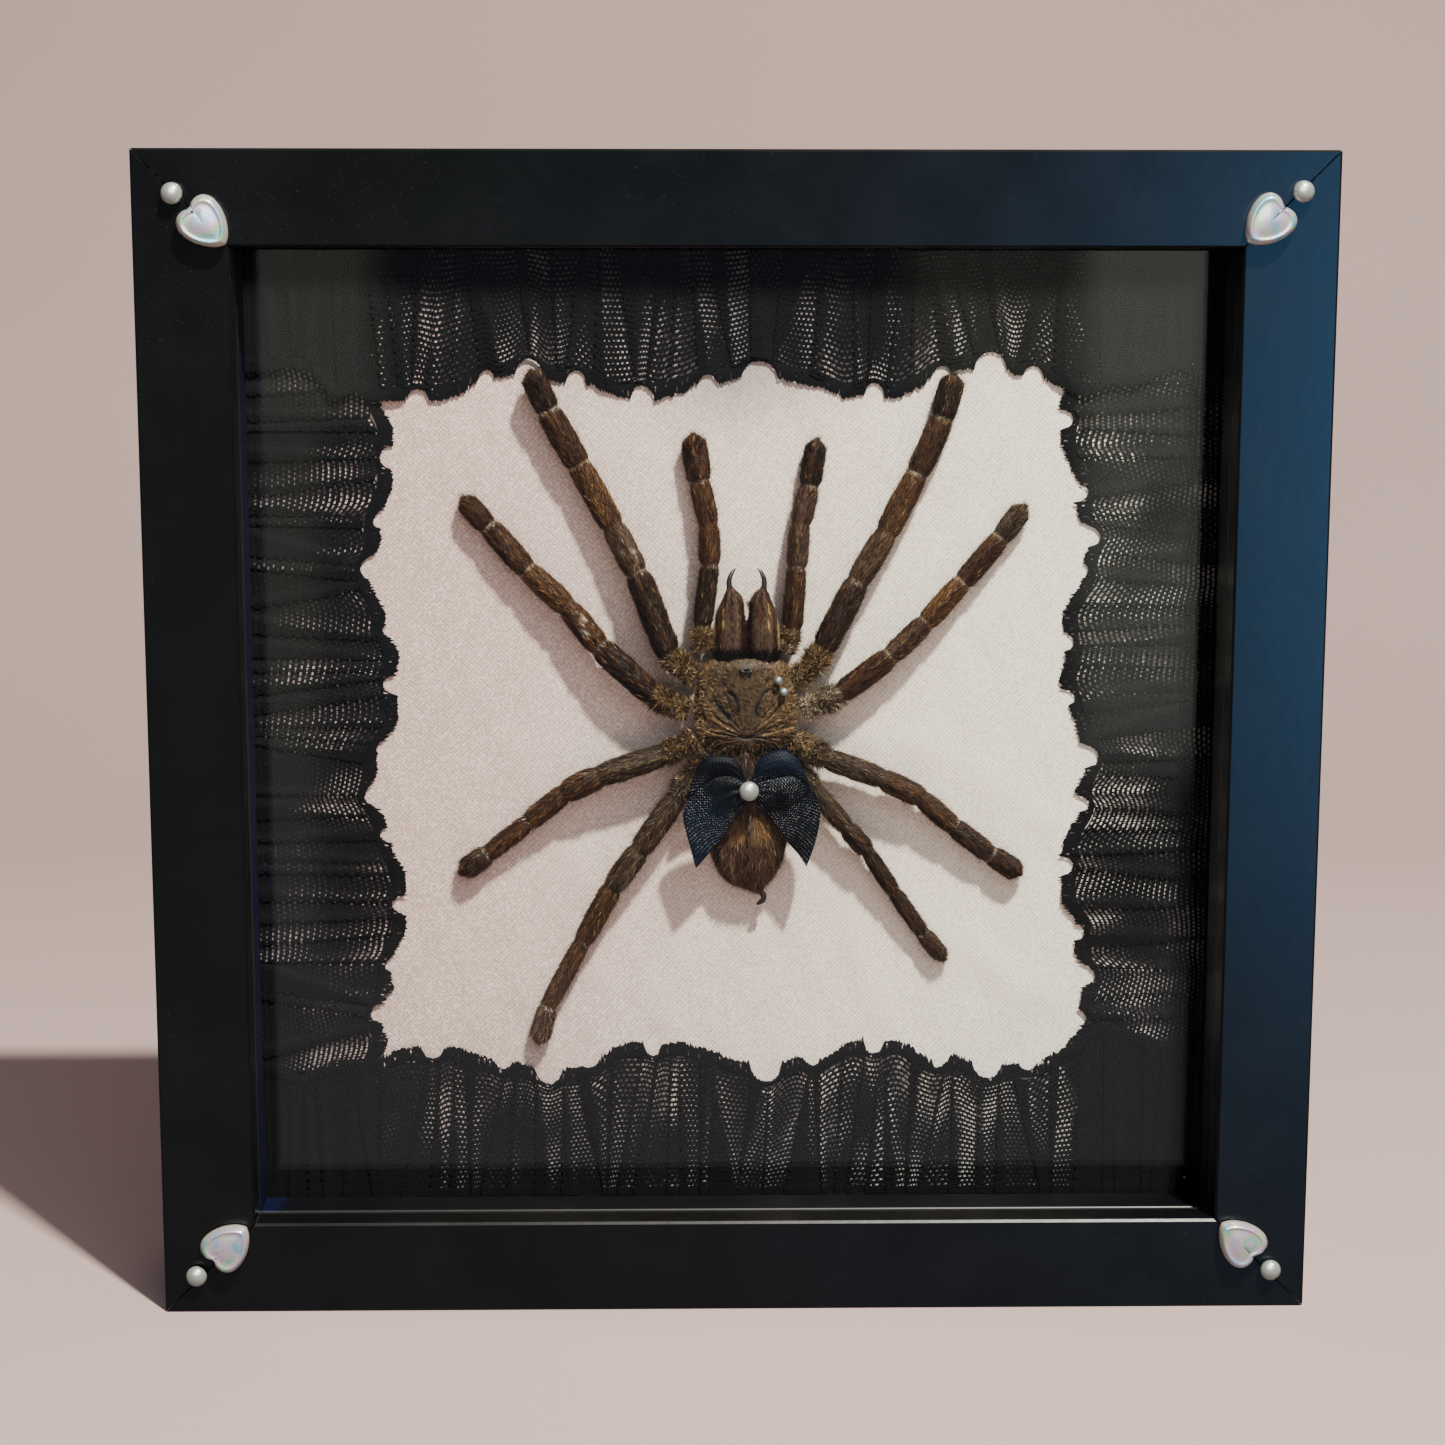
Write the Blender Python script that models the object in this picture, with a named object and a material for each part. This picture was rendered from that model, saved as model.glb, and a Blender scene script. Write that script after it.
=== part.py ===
"""Framed tarantula specimen: a dried tarantula on satin in a black shadow box, with lace, bow and pearls.

Metres, +Z up. The frame stands on its bottom rail with its window facing -Y. The origin is the middle
of the footprint, at floor level. The tables below are in millimetres: x to the right of the middle,
z above the floor, depth behind the front face, and height in front of the satin.
"""
from math import cos, pi, sin, sqrt, tau

import bmesh
import bpy
from mathutils import Matrix, Vector

MM = 0.001

# ---- frame, millimetres ----
FRAME_SIDE = 250.0
FRAME_DEPTH = 45.0
FRONT_WIDTH = 20.0
LIP_DEPTH = 8.5
WALL = 10.0
EDGE_CHAMFER = 0.5
GAP = 0.3
SPACER_SETBACK = 0.3
GROOVE_CHAMFER = 0.9
REAR_SPACER_WIDTH = 3.2

# ---- depths behind the front face, front to back ----
PANE_DEPTH = (19.2, 21.2)
SATIN_DEPTH = (37.5, 38.0)
INSERT_DEPTH = (38.3, 40.3)
BACK_DEPTH = (40.6, 42.6)
TAB_DEPTH = (42.9, 43.4)
HANGER_DEPTH = (42.9, 44.1)

# ---- ornaments glued on the front ----
HEART_HALF = [(0.0, 4.7), (0.9, 5.4), (2.6, 5.6), (4.2, 4.9), (5.1, 3.0), (4.9, 0.6), (4.0, -1.8),
              (2.6, -3.8), (1.1, -5.2), (0.0, -5.6)]
HEART_RISE = 3.4
HEART_LAYERS = [(0.98, 0.0), (1.0, 0.6), (0.95, 1.7), (0.86, 2.6), (0.72, 3.0), (0.36, HEART_RISE)]
HEART_INSETS = {"top_left": (15.6, 15.6), "top_right": (15.6, 14.9),
                "bottom_left": (14.4, 15.8), "bottom_right": (14.8, 15.6)}
PEARL_DIAMETER = 4.5
PEARL_RISE = 2.7
PEARL_SIDES, PEARL_STEPS = 12, 4
PEARL_INSETS = {"top_left": (8.7, 9.2), "top_right": (8.2, 8.5),
                "bottom_left": (7.2, 8.7), "bottom_right": (7.7, 8.8)}

HALF = FRAME_SIDE / 2
ORNAMENT_RISE = GAP + HEART_RISE
FRONT_Y = (ORNAMENT_RISE - FRAME_DEPTH) / 2
CAVITY_INSET = WALL + 0.4
TURNS = {"top": 0.0, "right": pi / 2, "bottom": pi, "left": -pi / 2}
CORNER_SIGNS = {"top_left": (-1, 1), "top_right": (1, 1), "bottom_left": (-1, -1), "bottom_right": (1, -1)}

# ---- lace: the gathered strips' inner edges. Points are (along, across) in x and z, and each bite is
# a half-round gap in the woven scallops, (along, half width, depth). ----
LACE_INSET = 13.9
LACE_THICKNESS = 0.45
LACE_LOW, LACE_HIGH = 0.35, 1.05
LACE_UPPER_LAYER = 1.35
CORNER_REACH, CORNER_FADE = 78.0, 8.0
PLEAT_WAVES = [(0.3, 0.62, 0.0), (0.2, 0.27, 1.3)]
BITE_STOPS = (-1, -0.75, 0, 0.75, 1)
LEAST_STEP = 0.35
LACE_EDGES = {
    "top": ([(-104, 203.5), (-98, 204.5), (-93, 203), (-89, 197.5), (-84, 199), (-79, 197), (-65, 197),
             (-60, 198.5), (-56, 201.5), (-50, 202.5), (-45, 203), (-39, 201), (-33.5, 201.5), (-29, 199),
             (-24, 197.5), (-16.5, 197.5), (-11, 199), (-7.5, 201.5), (-3, 200.5), (2, 202.5), (10, 202),
             (20.5, 199.5), (24.5, 197.5), (29.5, 198.5), (36, 197.5), (40.5, 199.5), (44.5, 202.5),
             (51, 204), (59.5, 204), (62.5, 202.5), (68.5, 202.5), (72.5, 200), (78, 198), (84, 201),
             (89, 200.5), (98, 204), (105, 203)],
            [(-70, 2.0, 2.2), (-55, 1.5, 1.8), (-45.3, 2.7, 2.9), (-35, 1.8, 2.0), (-20.3, 2.0, 2.5),
             (-5.5, 1.6, 1.5), (5.8, 3.3, 3.0), (31.3, 1.8, 2.3), (46, 1.8, 1.6), (57, 3.0, 3.3),
             (66.5, 1.8, 1.9)]),
    "bottom": ([(-105, 46), (-99, 43), (-91, 47), (-83, 46.5), (-76, 49.5), (-64, 49.5), (-58, 47.5),
                (-53.5, 45), (-50, 46), (-46.5, 45), (-42.5, 44), (-35, 44.5), (-31, 46), (-27, 49.5),
                (-22.5, 50.5), (-18, 49.5), (-12, 50.5), (-4, 48), (0, 46), (11, 45), (15, 47), (19, 45.5),
                (23.5, 48), (27, 50.5), (38.5, 50.5), (42, 48.5), (46.5, 45), (51, 47.5), (54.5, 45.5),
                (60, 44.5), (66.5, 45), (70, 44.5), (73, 47), (77.5, 49), (81, 53), (86, 55.5),
                (92, 53), (99, 50.5), (106, 53)],
               [(-69, 2.1, 2.3), (-52.5, 1.4, 0.9), (-42.5, 2.6, 3.0), (-32.5, 1.4, 0.7),
                (-18.5, 1.6, 2.1), (7.5, 3.0, 3.8), (18, 1.4, 0.9), (32.5, 1.9, 2.6), (48, 1.6, 1.2),
                (58.5, 2.6, 2.8), (68, 1.4, 1.2)]),
    "left": ([(226, -78.5), (219, -77.5), (212, -79), (207, -80.5), (202, -78.5), (197, -78.5),
              (191, -75.5), (177.5, -76), (170.5, -79.5), (166, -78.5), (160, -81.5), (156, -81),
              (150, -78), (145.5, -78), (141, -75), (134.5, -76), (125, -75.5), (121, -78.5),
              (117.5, -80.5), (113.5, -80.5), (107, -82.5), (103.5, -79), (99, -78), (94.5, -77),
              (90, -74.5), (77, -74.5), (72.5, -77), (68, -78.5), (63, -77.5), (60, -81), (56.5, -81.5),
              (51, -79), (46, -81.5), (41, -83), (35, -81.5), (30, -83), (24, -81.5)],
             [(184.5, 2.1, 2.5), (170.5, 1.4, 0.9), (160, 2.3, 1.8), (145.5, 1.1, 0.7),
              (133.5, 1.8, 2.5), (119.5, 1.1, 0.9), (108.5, 2.1, 1.1), (99, 1.4, 1.8), (83, 1.8, 2.7),
              (69, 1.4, 1.1), (57.5, 1.8, 1.4)]),
    "right": ([(226, 77), (219, 76), (212, 78), (207, 76.5), (202, 74.5), (197, 72.5), (187, 73),
               (181.5, 75.5), (177.5, 77.5), (174, 76.5), (170.5, 77.5), (167, 79.5), (160.5, 78.5),
               (156, 78), (152.5, 75.5), (148.5, 74), (139, 75), (134.5, 73.5), (131, 75), (127, 76.5),
               (121, 78.5), (113.5, 80), (109, 77.5), (103.5, 79), (100, 76.5), (96.5, 75), (83, 75),
               (79, 78.5), (74.5, 79), (71.5, 78), (68.5, 80), (65, 81), (58, 79.5), (54, 80.5),
               (50.5, 77.5), (47.5, 75.5), (42, 77.5), (36, 80.5), (29, 78.5), (22, 80.5)],
              [(193, 1.8, 2.5), (176.5, 1.6, 1.8), (167, 2.1, 2.5), (159, 1.4, 1.1), (143, 1.6, 1.8),
               (130.5, 1.4, 1.8), (117, 2.3, 3.0), (106, 1.6, 2.3), (91.5, 1.8, 2.3), (76, 1.6, 1.4),
               (66, 2.1, 2.1), (56, 1.4, 1.1)])}

# ---- tarantula limbs: joints (x, z, height) from the tip of the foot to the body, then the radius of
# each segment between them: tarsus, metatarsus, tibia, patella, femur and coxa (no metatarsus in a palp)
LIMBS = {
    "leg_1_left": ([(-44.8, 203.4, 4.6), (-40.9, 194.8, 4.2), (-34.3, 182.8, 3.6), (-26.7, 169.3, 4.6),
                    (-21.5, 158.9, 5.6), (-14.6, 141.0, 6.0), (-11.4, 137.9, 5.8), (-8.4, 136.0, 5.6)],
                   (2.6, 2.7, 2.65, 2.55, 2.8, 2.6, 2.2)),
    "leg_2_left": ([(-60.2, 175.4, 2.5), (-54.5, 169.1, 2.7), (-45.9, 159.4, 3.5), (-36.9, 151.3, 4.6),
                    (-29.8, 142.4, 5.6), (-18.3, 131.9, 6.0), (-13.9, 129.7, 5.8), (-10.0, 128.4, 5.6)],
                   (2.25, 2.4, 2.45, 2.45, 2.7, 2.6, 2.2)),
    "leg_3_left": ([(-61.6, 90.8, 2.5), (-55.6, 95.1, 2.6), (-46.3, 102.6, 3.4), (-37.9, 109.6, 4.6),
                    (-29.9, 113.5, 5.6), (-15.6, 118.4, 6.0), (-12.1, 119.7, 5.8), (-8.5, 122.2, 5.6)],
                   (2.35, 1.95, 2.2, 2.55, 2.55, 2.5, 2.1)),
    "leg_4_left": ([(-44.5, 51.2, 2.4), (-42.5, 59.4, 2.5), (-34.3, 74.9, 3.4), (-27.3, 87.9, 4.6),
                    (-21.2, 96.6, 5.4), (-12.6, 109.0, 5.8), (-9.9, 113.5, 5.7), (-5.2, 117.8, 5.6)],
                   (2.15, 1.85, 2.2, 2.45, 2.45, 2.3, 1.9)),
    "leg_1_right": ([(48.6, 202.6, 3.2), (46.1, 193.1, 3.2), (40.4, 180.8, 3.5), (33.8, 167.7, 4.6),
                     (27.3, 156.9, 5.6), (19.9, 142.2, 6.0), (17.0, 137.7, 5.8), (13.4, 135.2, 5.6)],
                    (2.65, 2.6, 2.55, 2.55, 2.8, 2.6, 2.2)),
    "leg_2_right": ([(64.7, 173.6, 2.5), (59.4, 166.5, 2.6), (50.9, 156.6, 3.4), (42.7, 147.7, 4.6),
                     (34.7, 140.3, 5.6), (23.6, 132.0, 6.0), (18.6, 129.7, 5.8), (15.0, 128.4, 5.6)],
                    (2.2, 2.2, 2.2, 2.2, 2.4, 2.5, 2.1)),
    "leg_3_right": ([(65.2, 90.2, 2.5), (58.3, 94.6, 2.6), (49.6, 101.5, 3.4), (42.3, 108.1, 4.6),
                     (33.2, 112.8, 5.6), (20.6, 117.4, 6.0), (17.2, 119.2, 5.8), (13.4, 122.2, 5.6)],
                    (2.3, 2.1, 2.15, 2.4, 2.35, 2.5, 2.1)),
    "leg_4_right": ([(48.1, 70.4, 2.2), (43.2, 76.4, 2.3), (36.4, 86.3, 3.3), (30.3, 95.8, 4.5),
                     (25.3, 101.6, 5.4), (17.8, 110.5, 5.8), (14.6, 114.4, 5.7), (10.2, 118.0, 5.6)],
                    (1.75, 1.55, 1.6, 2.0, 2.0, 2.0, 1.8)),
    "palp_left": ([(-9.1, 189.4, 2.7), (-7.6, 179.0, 3.0), (-5.5, 169.3, 4.2), (-5.4, 160.5, 5.0),
                   (-7.2, 147.0, 5.4), (-7.3, 143.4, 5.3), (-6.7, 141.4, 5.2)],
                  (2.55, 2.15, 2.2, 2.0, 1.9, 1.7)),
    "palp_right": ([(18.3, 188.2, 2.6), (16.7, 178.0, 3.0), (14.7, 169.6, 4.2), (13.9, 160.0, 5.0),
                    (12.9, 146.3, 5.4), (12.3, 143.2, 5.3), (11.6, 141.2, 5.2)],
                   (2.3, 2.2, 2.2, 2.1, 1.9, 1.7))}
LIMB_SIDES, LIMB_FLATNESS = 8, 0.94
FOOT_SHAPE = ((0.0, 0.52), (0.1, 0.88), (0.5, 1.0), (0.94, 0.82))
SEGMENT_SHAPE = ((0.05, 0.83), (0.5, 1.0), (0.95, 0.85))
COXA_SHAPE = ((0.1, 0.95), (1.0, 0.75))

# ---- tarantula body: slices (z, left x, right x, underside height, rim height, top height) ----
CARAPACE_SLICES = [(119.6, -1.6, 6.8, 4.6, 5.8, 6.8), (120.8, -5.6, 10.9, 3.8, 5.9, 7.6),
                   (123.0, -7.6, 12.9, 3.3, 6.0, 8.3), (126.5, -8.5, 13.8, 3.0, 6.1, 8.9),
                   (130.5, -8.8, 14.0, 3.0, 6.2, 9.2), (134.5, -8.1, 13.2, 3.2, 6.2, 9.4),
                   (137.3, -6.9, 11.8, 3.5, 6.3, 9.5), (139.5, -4.6, 9.5, 4.0, 6.4, 9.2),
                   (140.8, -0.4, 5.4, 5.0, 6.5, 8.0)]
ABDOMEN_SLICES = [(118.9, 1.4, 3.6, 5.0, 6.0, 7.0), (117.2, -0.6, 5.8, 3.4, 5.6, 7.9),
                  (113.5, -3.0, 8.6, 2.0, 5.3, 8.8), (108.5, -4.7, 10.8, 1.2, 5.1, 9.4),
                  (103.0, -5.6, 11.9, 0.9, 5.0, 9.5), (98.0, -5.5, 11.8, 0.9, 4.8, 9.2),
                  (94.0, -4.6, 10.9, 1.1, 4.6, 8.4), (90.6, -2.8, 9.2, 1.8, 4.5, 7.2),
                  (88.3, -0.4, 7.3, 2.8, 4.4, 6.0), (87.3, 3.8, 6.0, 3.6, 4.3, 5.1)]
SPINNERET = [(6.2, 86.5, 4.4, 0.75), (6.9, 85.6, 4.4, 0.7), (6.7, 84.5, 4.4, 0.65), (5.3, 83.6, 4.4, 0.45)]
CHELICERA_SLICES = [(141.5, -3.4, 3.3, 3.6, 5.6, 8.4), (145.5, -3.4, 3.4, 3.2, 5.6, 8.9),
                    (149.5, -2.9, 3.3, 3.2, 5.5, 8.8), (152.2, -2.1, 3.2, 3.4, 5.3, 8.1),
                    (154.2, -1.3, 3.0, 3.8, 5.2, 7.1), (155.0, -0.8, 2.1, 4.1, 5.2, 6.6),
                    (155.6, -0.4, 1.0, 4.5, 5.2, 6.0)]
CHELICERA_MIDDLES = {"left": -1.3, "right": 6.9}
FANG_CURVE = [(0.3, 155.95, 0.66), (0.15, 157.0, 0.62), (0.35, 158.2, 0.54), (0.9, 159.3, 0.42),
              (1.8, 160.2, 0.14)]
FANG_HEIGHT = 5.2
CARAPACE_SIDES, ABDOMEN_SIDES, CHELICERA_SIDES, FANG_SIDES = 14, 12, 10, 6

# ---- ribbon bow: outlines in x and z, heights over the satin ----
BOW_LOOPS = {
    "left": [(2.9, 113.4), (2.4, 115.8), (-0.6, 118.8), (-3.6, 119.0), (-6.3, 118.9), (-7.9, 117.3),
             (-9.2, 113.8), (-9.6, 111.0), (-10.6, 108.6), (-7.7, 106.8), (-3.2, 106.3), (1.5, 108.4)],
    "right": [(4.0, 113.4), (4.2, 116.1), (5.6, 118.5), (8.4, 119.9), (11.3, 120.4), (13.6, 118.9),
              (15.1, 116.4), (17.0, 111.8), (16.4, 109.8), (14.2, 108.2), (10.5, 107.4), (5.3, 109.0)]}
BOW_TAILS = {
    "left": [(3.3, 111.4), (-5.0, 110.6), (-11.2, 108.6), (-11.7, 106.2), (-10.2, 99.8), (-8.6, 93.2),
             (-5.7, 96.7), (-2.3, 100.4), (3.3, 107.4)],
    "right": [(3.6, 107.4), (7.4, 105.0), (11.5, 99.5), (16.3, 93.3), (18.0, 98.5), (19.3, 105.4),
              (17.3, 111.5), (10.0, 111.4), (3.6, 111.4)]}
TAIL_HEIGHTS = (10.1, 10.9)
LOOP_HEIGHTS = (9.9, 11.4, 12.9)
LOOP_SHARE, KNOT_SHARE = 0.78, 0.75
PUFF_SHOULDER, PUFF_SHOULDER_DROP = 0.08, 0.3
KNOT = (3.4, 110.8, 2.3)
KNOT_HEIGHTS = (10.0, 11.5, 13.0)
KNOT_SIDES = 10
BOW_PEARL = (3.4, 110.8, 4.4, 2.3)
CARAPACE_PEARLS = {"upper": (9.8, 135.6, 1.9, 9.1), "lower": (11.0, 133.0, 1.9, 8.6)}
CARAPACE_PEARL_RISE = 1.4
CARAPACE_PEARL_SIDES, CARAPACE_PEARL_STEPS = 8, 3

# ---- back hardware ----
TAB_LENGTH, TAB_WIDTH = 13.0, 6.0
TAB_OFFSET = 62.0
HANGER_WIDTH, HANGER_HEIGHT, HANGER_DROP = 46.0, 9.0, 22.0
HANGER_TEETH = 9
TOOTHED_SHARE, TOOTH_NOTCH, HANGER_SHOULDER = 0.6, 0.72, 0.6


def point(x, z, depth):
    """The point at x and z, a depth behind the front face, all in millimetres."""
    return Vector((x * MM, (FRONT_Y + depth) * MM, z * MM))


def over_satin(x, z, height):
    """The point at x and z, a height in front of the satin."""
    return point(x, z, SATIN_DEPTH[0] - height)


def clear_scene():
    for obj in list(bpy.data.objects):
        bpy.data.objects.remove(obj, do_unlink=True)


def finish(name, rgb, roughness, metallic=0.0):
    """A plain Principled material."""
    made = bpy.data.materials.new(name)
    made.use_nodes = True
    shader = made.node_tree.nodes["Principled BSDF"]
    shader.inputs["Base Color"].default_value = (*rgb, 1.0)
    shader.inputs["Roughness"].default_value = roughness
    shader.inputs["Metallic"].default_value = metallic
    return made


def solid(name, bm, material, smooth_angle=None):
    """Turn a closed bmesh into a named object, faces pointing out."""
    bmesh.ops.recalc_face_normals(bm, faces=bm.faces)
    mesh = bpy.data.meshes.new(name)
    bm.to_mesh(mesh)
    bm.free()
    mesh.materials.append(material)
    if smooth_angle is not None:
        mesh.shade_smooth()
        mesh.set_sharp_from_angle(angle=smooth_angle)
    made = bpy.data.objects.new(name, mesh)
    bpy.context.collection.objects.link(made)
    return made


def loft(rings):
    """A closed skin through rings of equal count, capped at both ends."""
    bm = bmesh.new()
    loops = [[bm.verts.new(place) for place in ring] for ring in rings]
    for near, far in zip(loops, loops[1:]):
        for here in range(len(near)):
            after = (here + 1) % len(near)
            bm.faces.new((near[here], near[after], far[after], far[here]))
    bm.faces.new(loops[0][::-1])
    bm.faces.new(loops[-1])
    return bm


def extruded(outline, front, back, lift=point):
    """An outline in x and z, given thickness between two depths, or two heights with lift=over_satin."""
    return loft([[lift(x, z, front) for x, z in outline], [lift(x, z, back) for x, z in outline]])


# ---------------------------------------------------------------- frame
def mitred_strip(name, side, profile, material):
    """A strip along one side of the square, cut at 45 degrees. The profile is (inset, depth) points."""
    mitre = GAP / sqrt(2)
    turn = Matrix.Rotation(TURNS[side], 4, "Y")
    middle = Vector((0, 0, HALF * MM))
    rings = []
    for way in (-1, 1):
        ring = []
        for inset, depth in profile:
            reach = HALF - inset
            corner = Vector((way * (reach - mitre) * MM, (FRONT_Y + depth) * MM, reach * MM))
            ring.append(turn @ corner + middle)
        rings.append(ring)
    return solid(name, loft(rings), material)


def slab(name, inset, depths, material):
    """A square sheet that stops short of the outside of the frame by an inset all round."""
    low, high = inset, FRAME_SIDE - inset
    outline = [(low - HALF, low), (high - HALF, low), (high - HALF, high), (low - HALF, high)]
    return solid(name, extruded(outline, *depths), material)


def build_frame(black, strip_black, clear, board, fibre):
    c = EDGE_CHAMFER
    rail = [(0, c), (c, 0), (FRONT_WIDTH - c, 0), (FRONT_WIDTH, c),
            (FRONT_WIDTH, LIP_DEPTH - c), (FRONT_WIDTH - c, LIP_DEPTH),
            (WALL, LIP_DEPTH), (WALL, FRAME_DEPTH), (0, FRAME_DEPTH)]
    inner = FRONT_WIDTH - SPACER_SETBACK
    start, stop = LIP_DEPTH + GAP, PANE_DEPTH[0] - GAP
    front_spacer = [(CAVITY_INSET, start), (inner - GROOVE_CHAMFER, start), (inner, start + GROOVE_CHAMFER),
                    (inner, stop), (CAVITY_INSET, stop)]
    rear_inner = CAVITY_INSET + REAR_SPACER_WIDTH
    rear_start, rear_stop = PANE_DEPTH[1] + GAP, SATIN_DEPTH[0] - GAP
    rear_spacer = [(CAVITY_INSET, rear_start), (rear_inner, rear_start), (rear_inner, rear_stop),
                   (CAVITY_INSET, rear_stop)]
    for side in TURNS:
        mitred_strip(f"rail_{side}", side, rail, black)
        mitred_strip(f"front_spacer_{side}", side, front_spacer, strip_black)
        mitred_strip(f"rear_spacer_{side}", side, rear_spacer, strip_black)
    slab("glazing", CAVITY_INSET, PANE_DEPTH, clear)
    slab("insert_board", CAVITY_INSET, INSERT_DEPTH, board)
    slab("back_panel", CAVITY_INSET, BACK_DEPTH, fibre)


def build_back_hardware(steel):
    """Eight pointed tabs that hold the back in, and a sawtooth hanger below the top rail."""
    middle = Vector((0, 0, HALF * MM))
    root = HALF - CAVITY_INSET
    half = TAB_WIDTH / 2
    number = 0
    for turn in TURNS.values():
        spin = Matrix.Rotation(turn, 4, "Y")
        for along in (-TAB_OFFSET, TAB_OFFSET):
            number += 1
            outline = [(along - half, root), (along - half, root - TAB_LENGTH + half),
                       (along - half / 2, root - TAB_LENGTH), (along + half / 2, root - TAB_LENGTH),
                       (along + half, root - TAB_LENGTH + half), (along + half, root)]
            bm = extruded(outline, *TAB_DEPTH)
            bmesh.ops.transform(bm, matrix=Matrix.Translation(middle) @ spin, verts=bm.verts)
            solid(f"back_tab_{number}", bm, steel)

    top = FRAME_SIDE - HANGER_DROP
    low = top - HANGER_HEIGHT
    toothed = HANGER_WIDTH * TOOTHED_SHARE
    pitch = toothed / HANGER_TEETH
    outline = [(-HANGER_WIDTH / 2, top), (HANGER_WIDTH / 2, top),
               (HANGER_WIDTH / 2, top - HANGER_HEIGHT * HANGER_SHOULDER), (toothed / 2 + 1, low)]
    for tooth in range(HANGER_TEETH):
        right = toothed / 2 - pitch * tooth
        outline += [(right, low), (right - pitch / 2, top - HANGER_HEIGHT * TOOTH_NOTCH)]
    outline += [(-toothed / 2, low), (-HANGER_WIDTH / 2, top - HANGER_HEIGHT * HANGER_SHOULDER)]
    solid("sawtooth_hanger", extruded(outline, *HANGER_DEPTH), steel)


# ---------------------------------------------------------------- lace
def edge_at(along, points, bites):
    """Where the scalloped edge lies across the strip, its bites left out, and how deep a bite is there."""
    if along <= points[0][0]:
        across = points[0][1]
    elif along >= points[-1][0]:
        across = points[-1][1]
    else:
        for (start, low), (stop, high) in zip(points, points[1:]):
            if start <= along <= stop:
                share = (along - start) / (stop - start)
                across = low + (high - low) * share
                break
    bite = 0.0
    for centre, half_width, depth in bites:
        off = (along - centre) / half_width
        if abs(off) < 1:
            bite = max(bite, depth * sqrt(1 - off * off))
    return across, bite


def pleat_height(along, side):
    """The crimped height of a gathered strip, flat and stacked where two strips cross in a corner."""
    centre = 0.0 if side in ("top", "bottom") else HALF
    wave = 0.5 + sum(size * sin(along * rate + start) for size, rate, start in PLEAT_WAVES)
    free = min(1.0, max(0.0, (CORNER_REACH - abs(along - centre)) / CORNER_FADE))
    height = LACE_LOW + (LACE_HIGH - LACE_LOW) * wave * free
    return height + (1 - free) * (LACE_UPPER_LAYER - LACE_LOW) if side in ("top", "bottom") else height


def build_lace(side, material):
    """A thin gathered strip: one cut across it for each stop along its scalloped edge."""
    points, bites = LACE_EDGES[side]
    points = sorted(points)
    level = side in ("top", "bottom")
    centre = 0.0 if level else HALF
    outer = {"top": FRAME_SIDE - LACE_INSET, "bottom": LACE_INSET,
             "left": LACE_INSET - HALF, "right": HALF - LACE_INSET}[side]
    outward = 1 if side in ("top", "right") else -1
    end = HALF - LACE_INSET
    stops = {centre - end, centre + end} | {along for along, _ in points}
    for middle, half_width, _ in bites:
        stops |= {middle + half_width * share for share in BITE_STOPS}
    cuts = []
    last = None
    for along in sorted(stops):
        if last is not None and along - last < LEAST_STEP:
            continue
        last = along
        across, bite = edge_at(along, points, bites)
        inner = across + outward * bite
        low = pleat_height(along, side)
        high = low + LACE_THICKNESS
        ring = [(inner, low), (outer, low), (outer, high), (inner, high)]
        cuts.append([over_satin(along, across_, height) if level else over_satin(across_, along, height)
                     for across_, height in ring])
    solid(f"lace_{side}", loft(cuts), material)


# ---------------------------------------------------------------- tarantula
def ring_at(centre, along, radius, sides, flat=1.0):
    """A ring of points across a direction, its first axis lying in the plane of the satin."""
    up = Vector((0, -1, 0))
    across = along.cross(up).normalized()
    lift = across.cross(along).normalized()
    return [centre + (across * cos(tau * k / sides) + lift * flat * sin(tau * k / sides)) * radius * MM
            for k in range(sides)]


def build_limb(name, material):
    """A leg or palp as one solid, waisted at each joint and blunt at the foot."""
    joints, radii = LIMBS[name]
    places = [over_satin(*joint) for joint in joints]
    rings = []
    for index, radius in enumerate(radii):
        start, stop = places[index], places[index + 1]
        along = (stop - start).normalized()
        shape = SEGMENT_SHAPE
        if index == 0:
            shape = FOOT_SHAPE
        elif index == len(radii) - 1:
            shape = COXA_SHAPE
        for share, girth in shape:
            centre = start.lerp(stop, share)
            rings.append(ring_at(centre, along, radius * girth, LIMB_SIDES, LIMB_FLATNESS))
    solid(name, loft(rings), material, smooth_angle=pi / 4)


def slice_ring(z, left, right, under, rim, top, sides):
    """One slice of a rounded body, across the spider, flatter below its rim than above if so given."""
    middle, half = (left + right) / 2, (right - left) / 2
    ring = []
    for k in range(sides):
        rise = sin(tau * k / sides)
        height = rim + rise * ((top - rim) if rise > 0 else (rim - under))
        ring.append(over_satin(middle + half * cos(tau * k / sides), z, height))
    return ring


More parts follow.
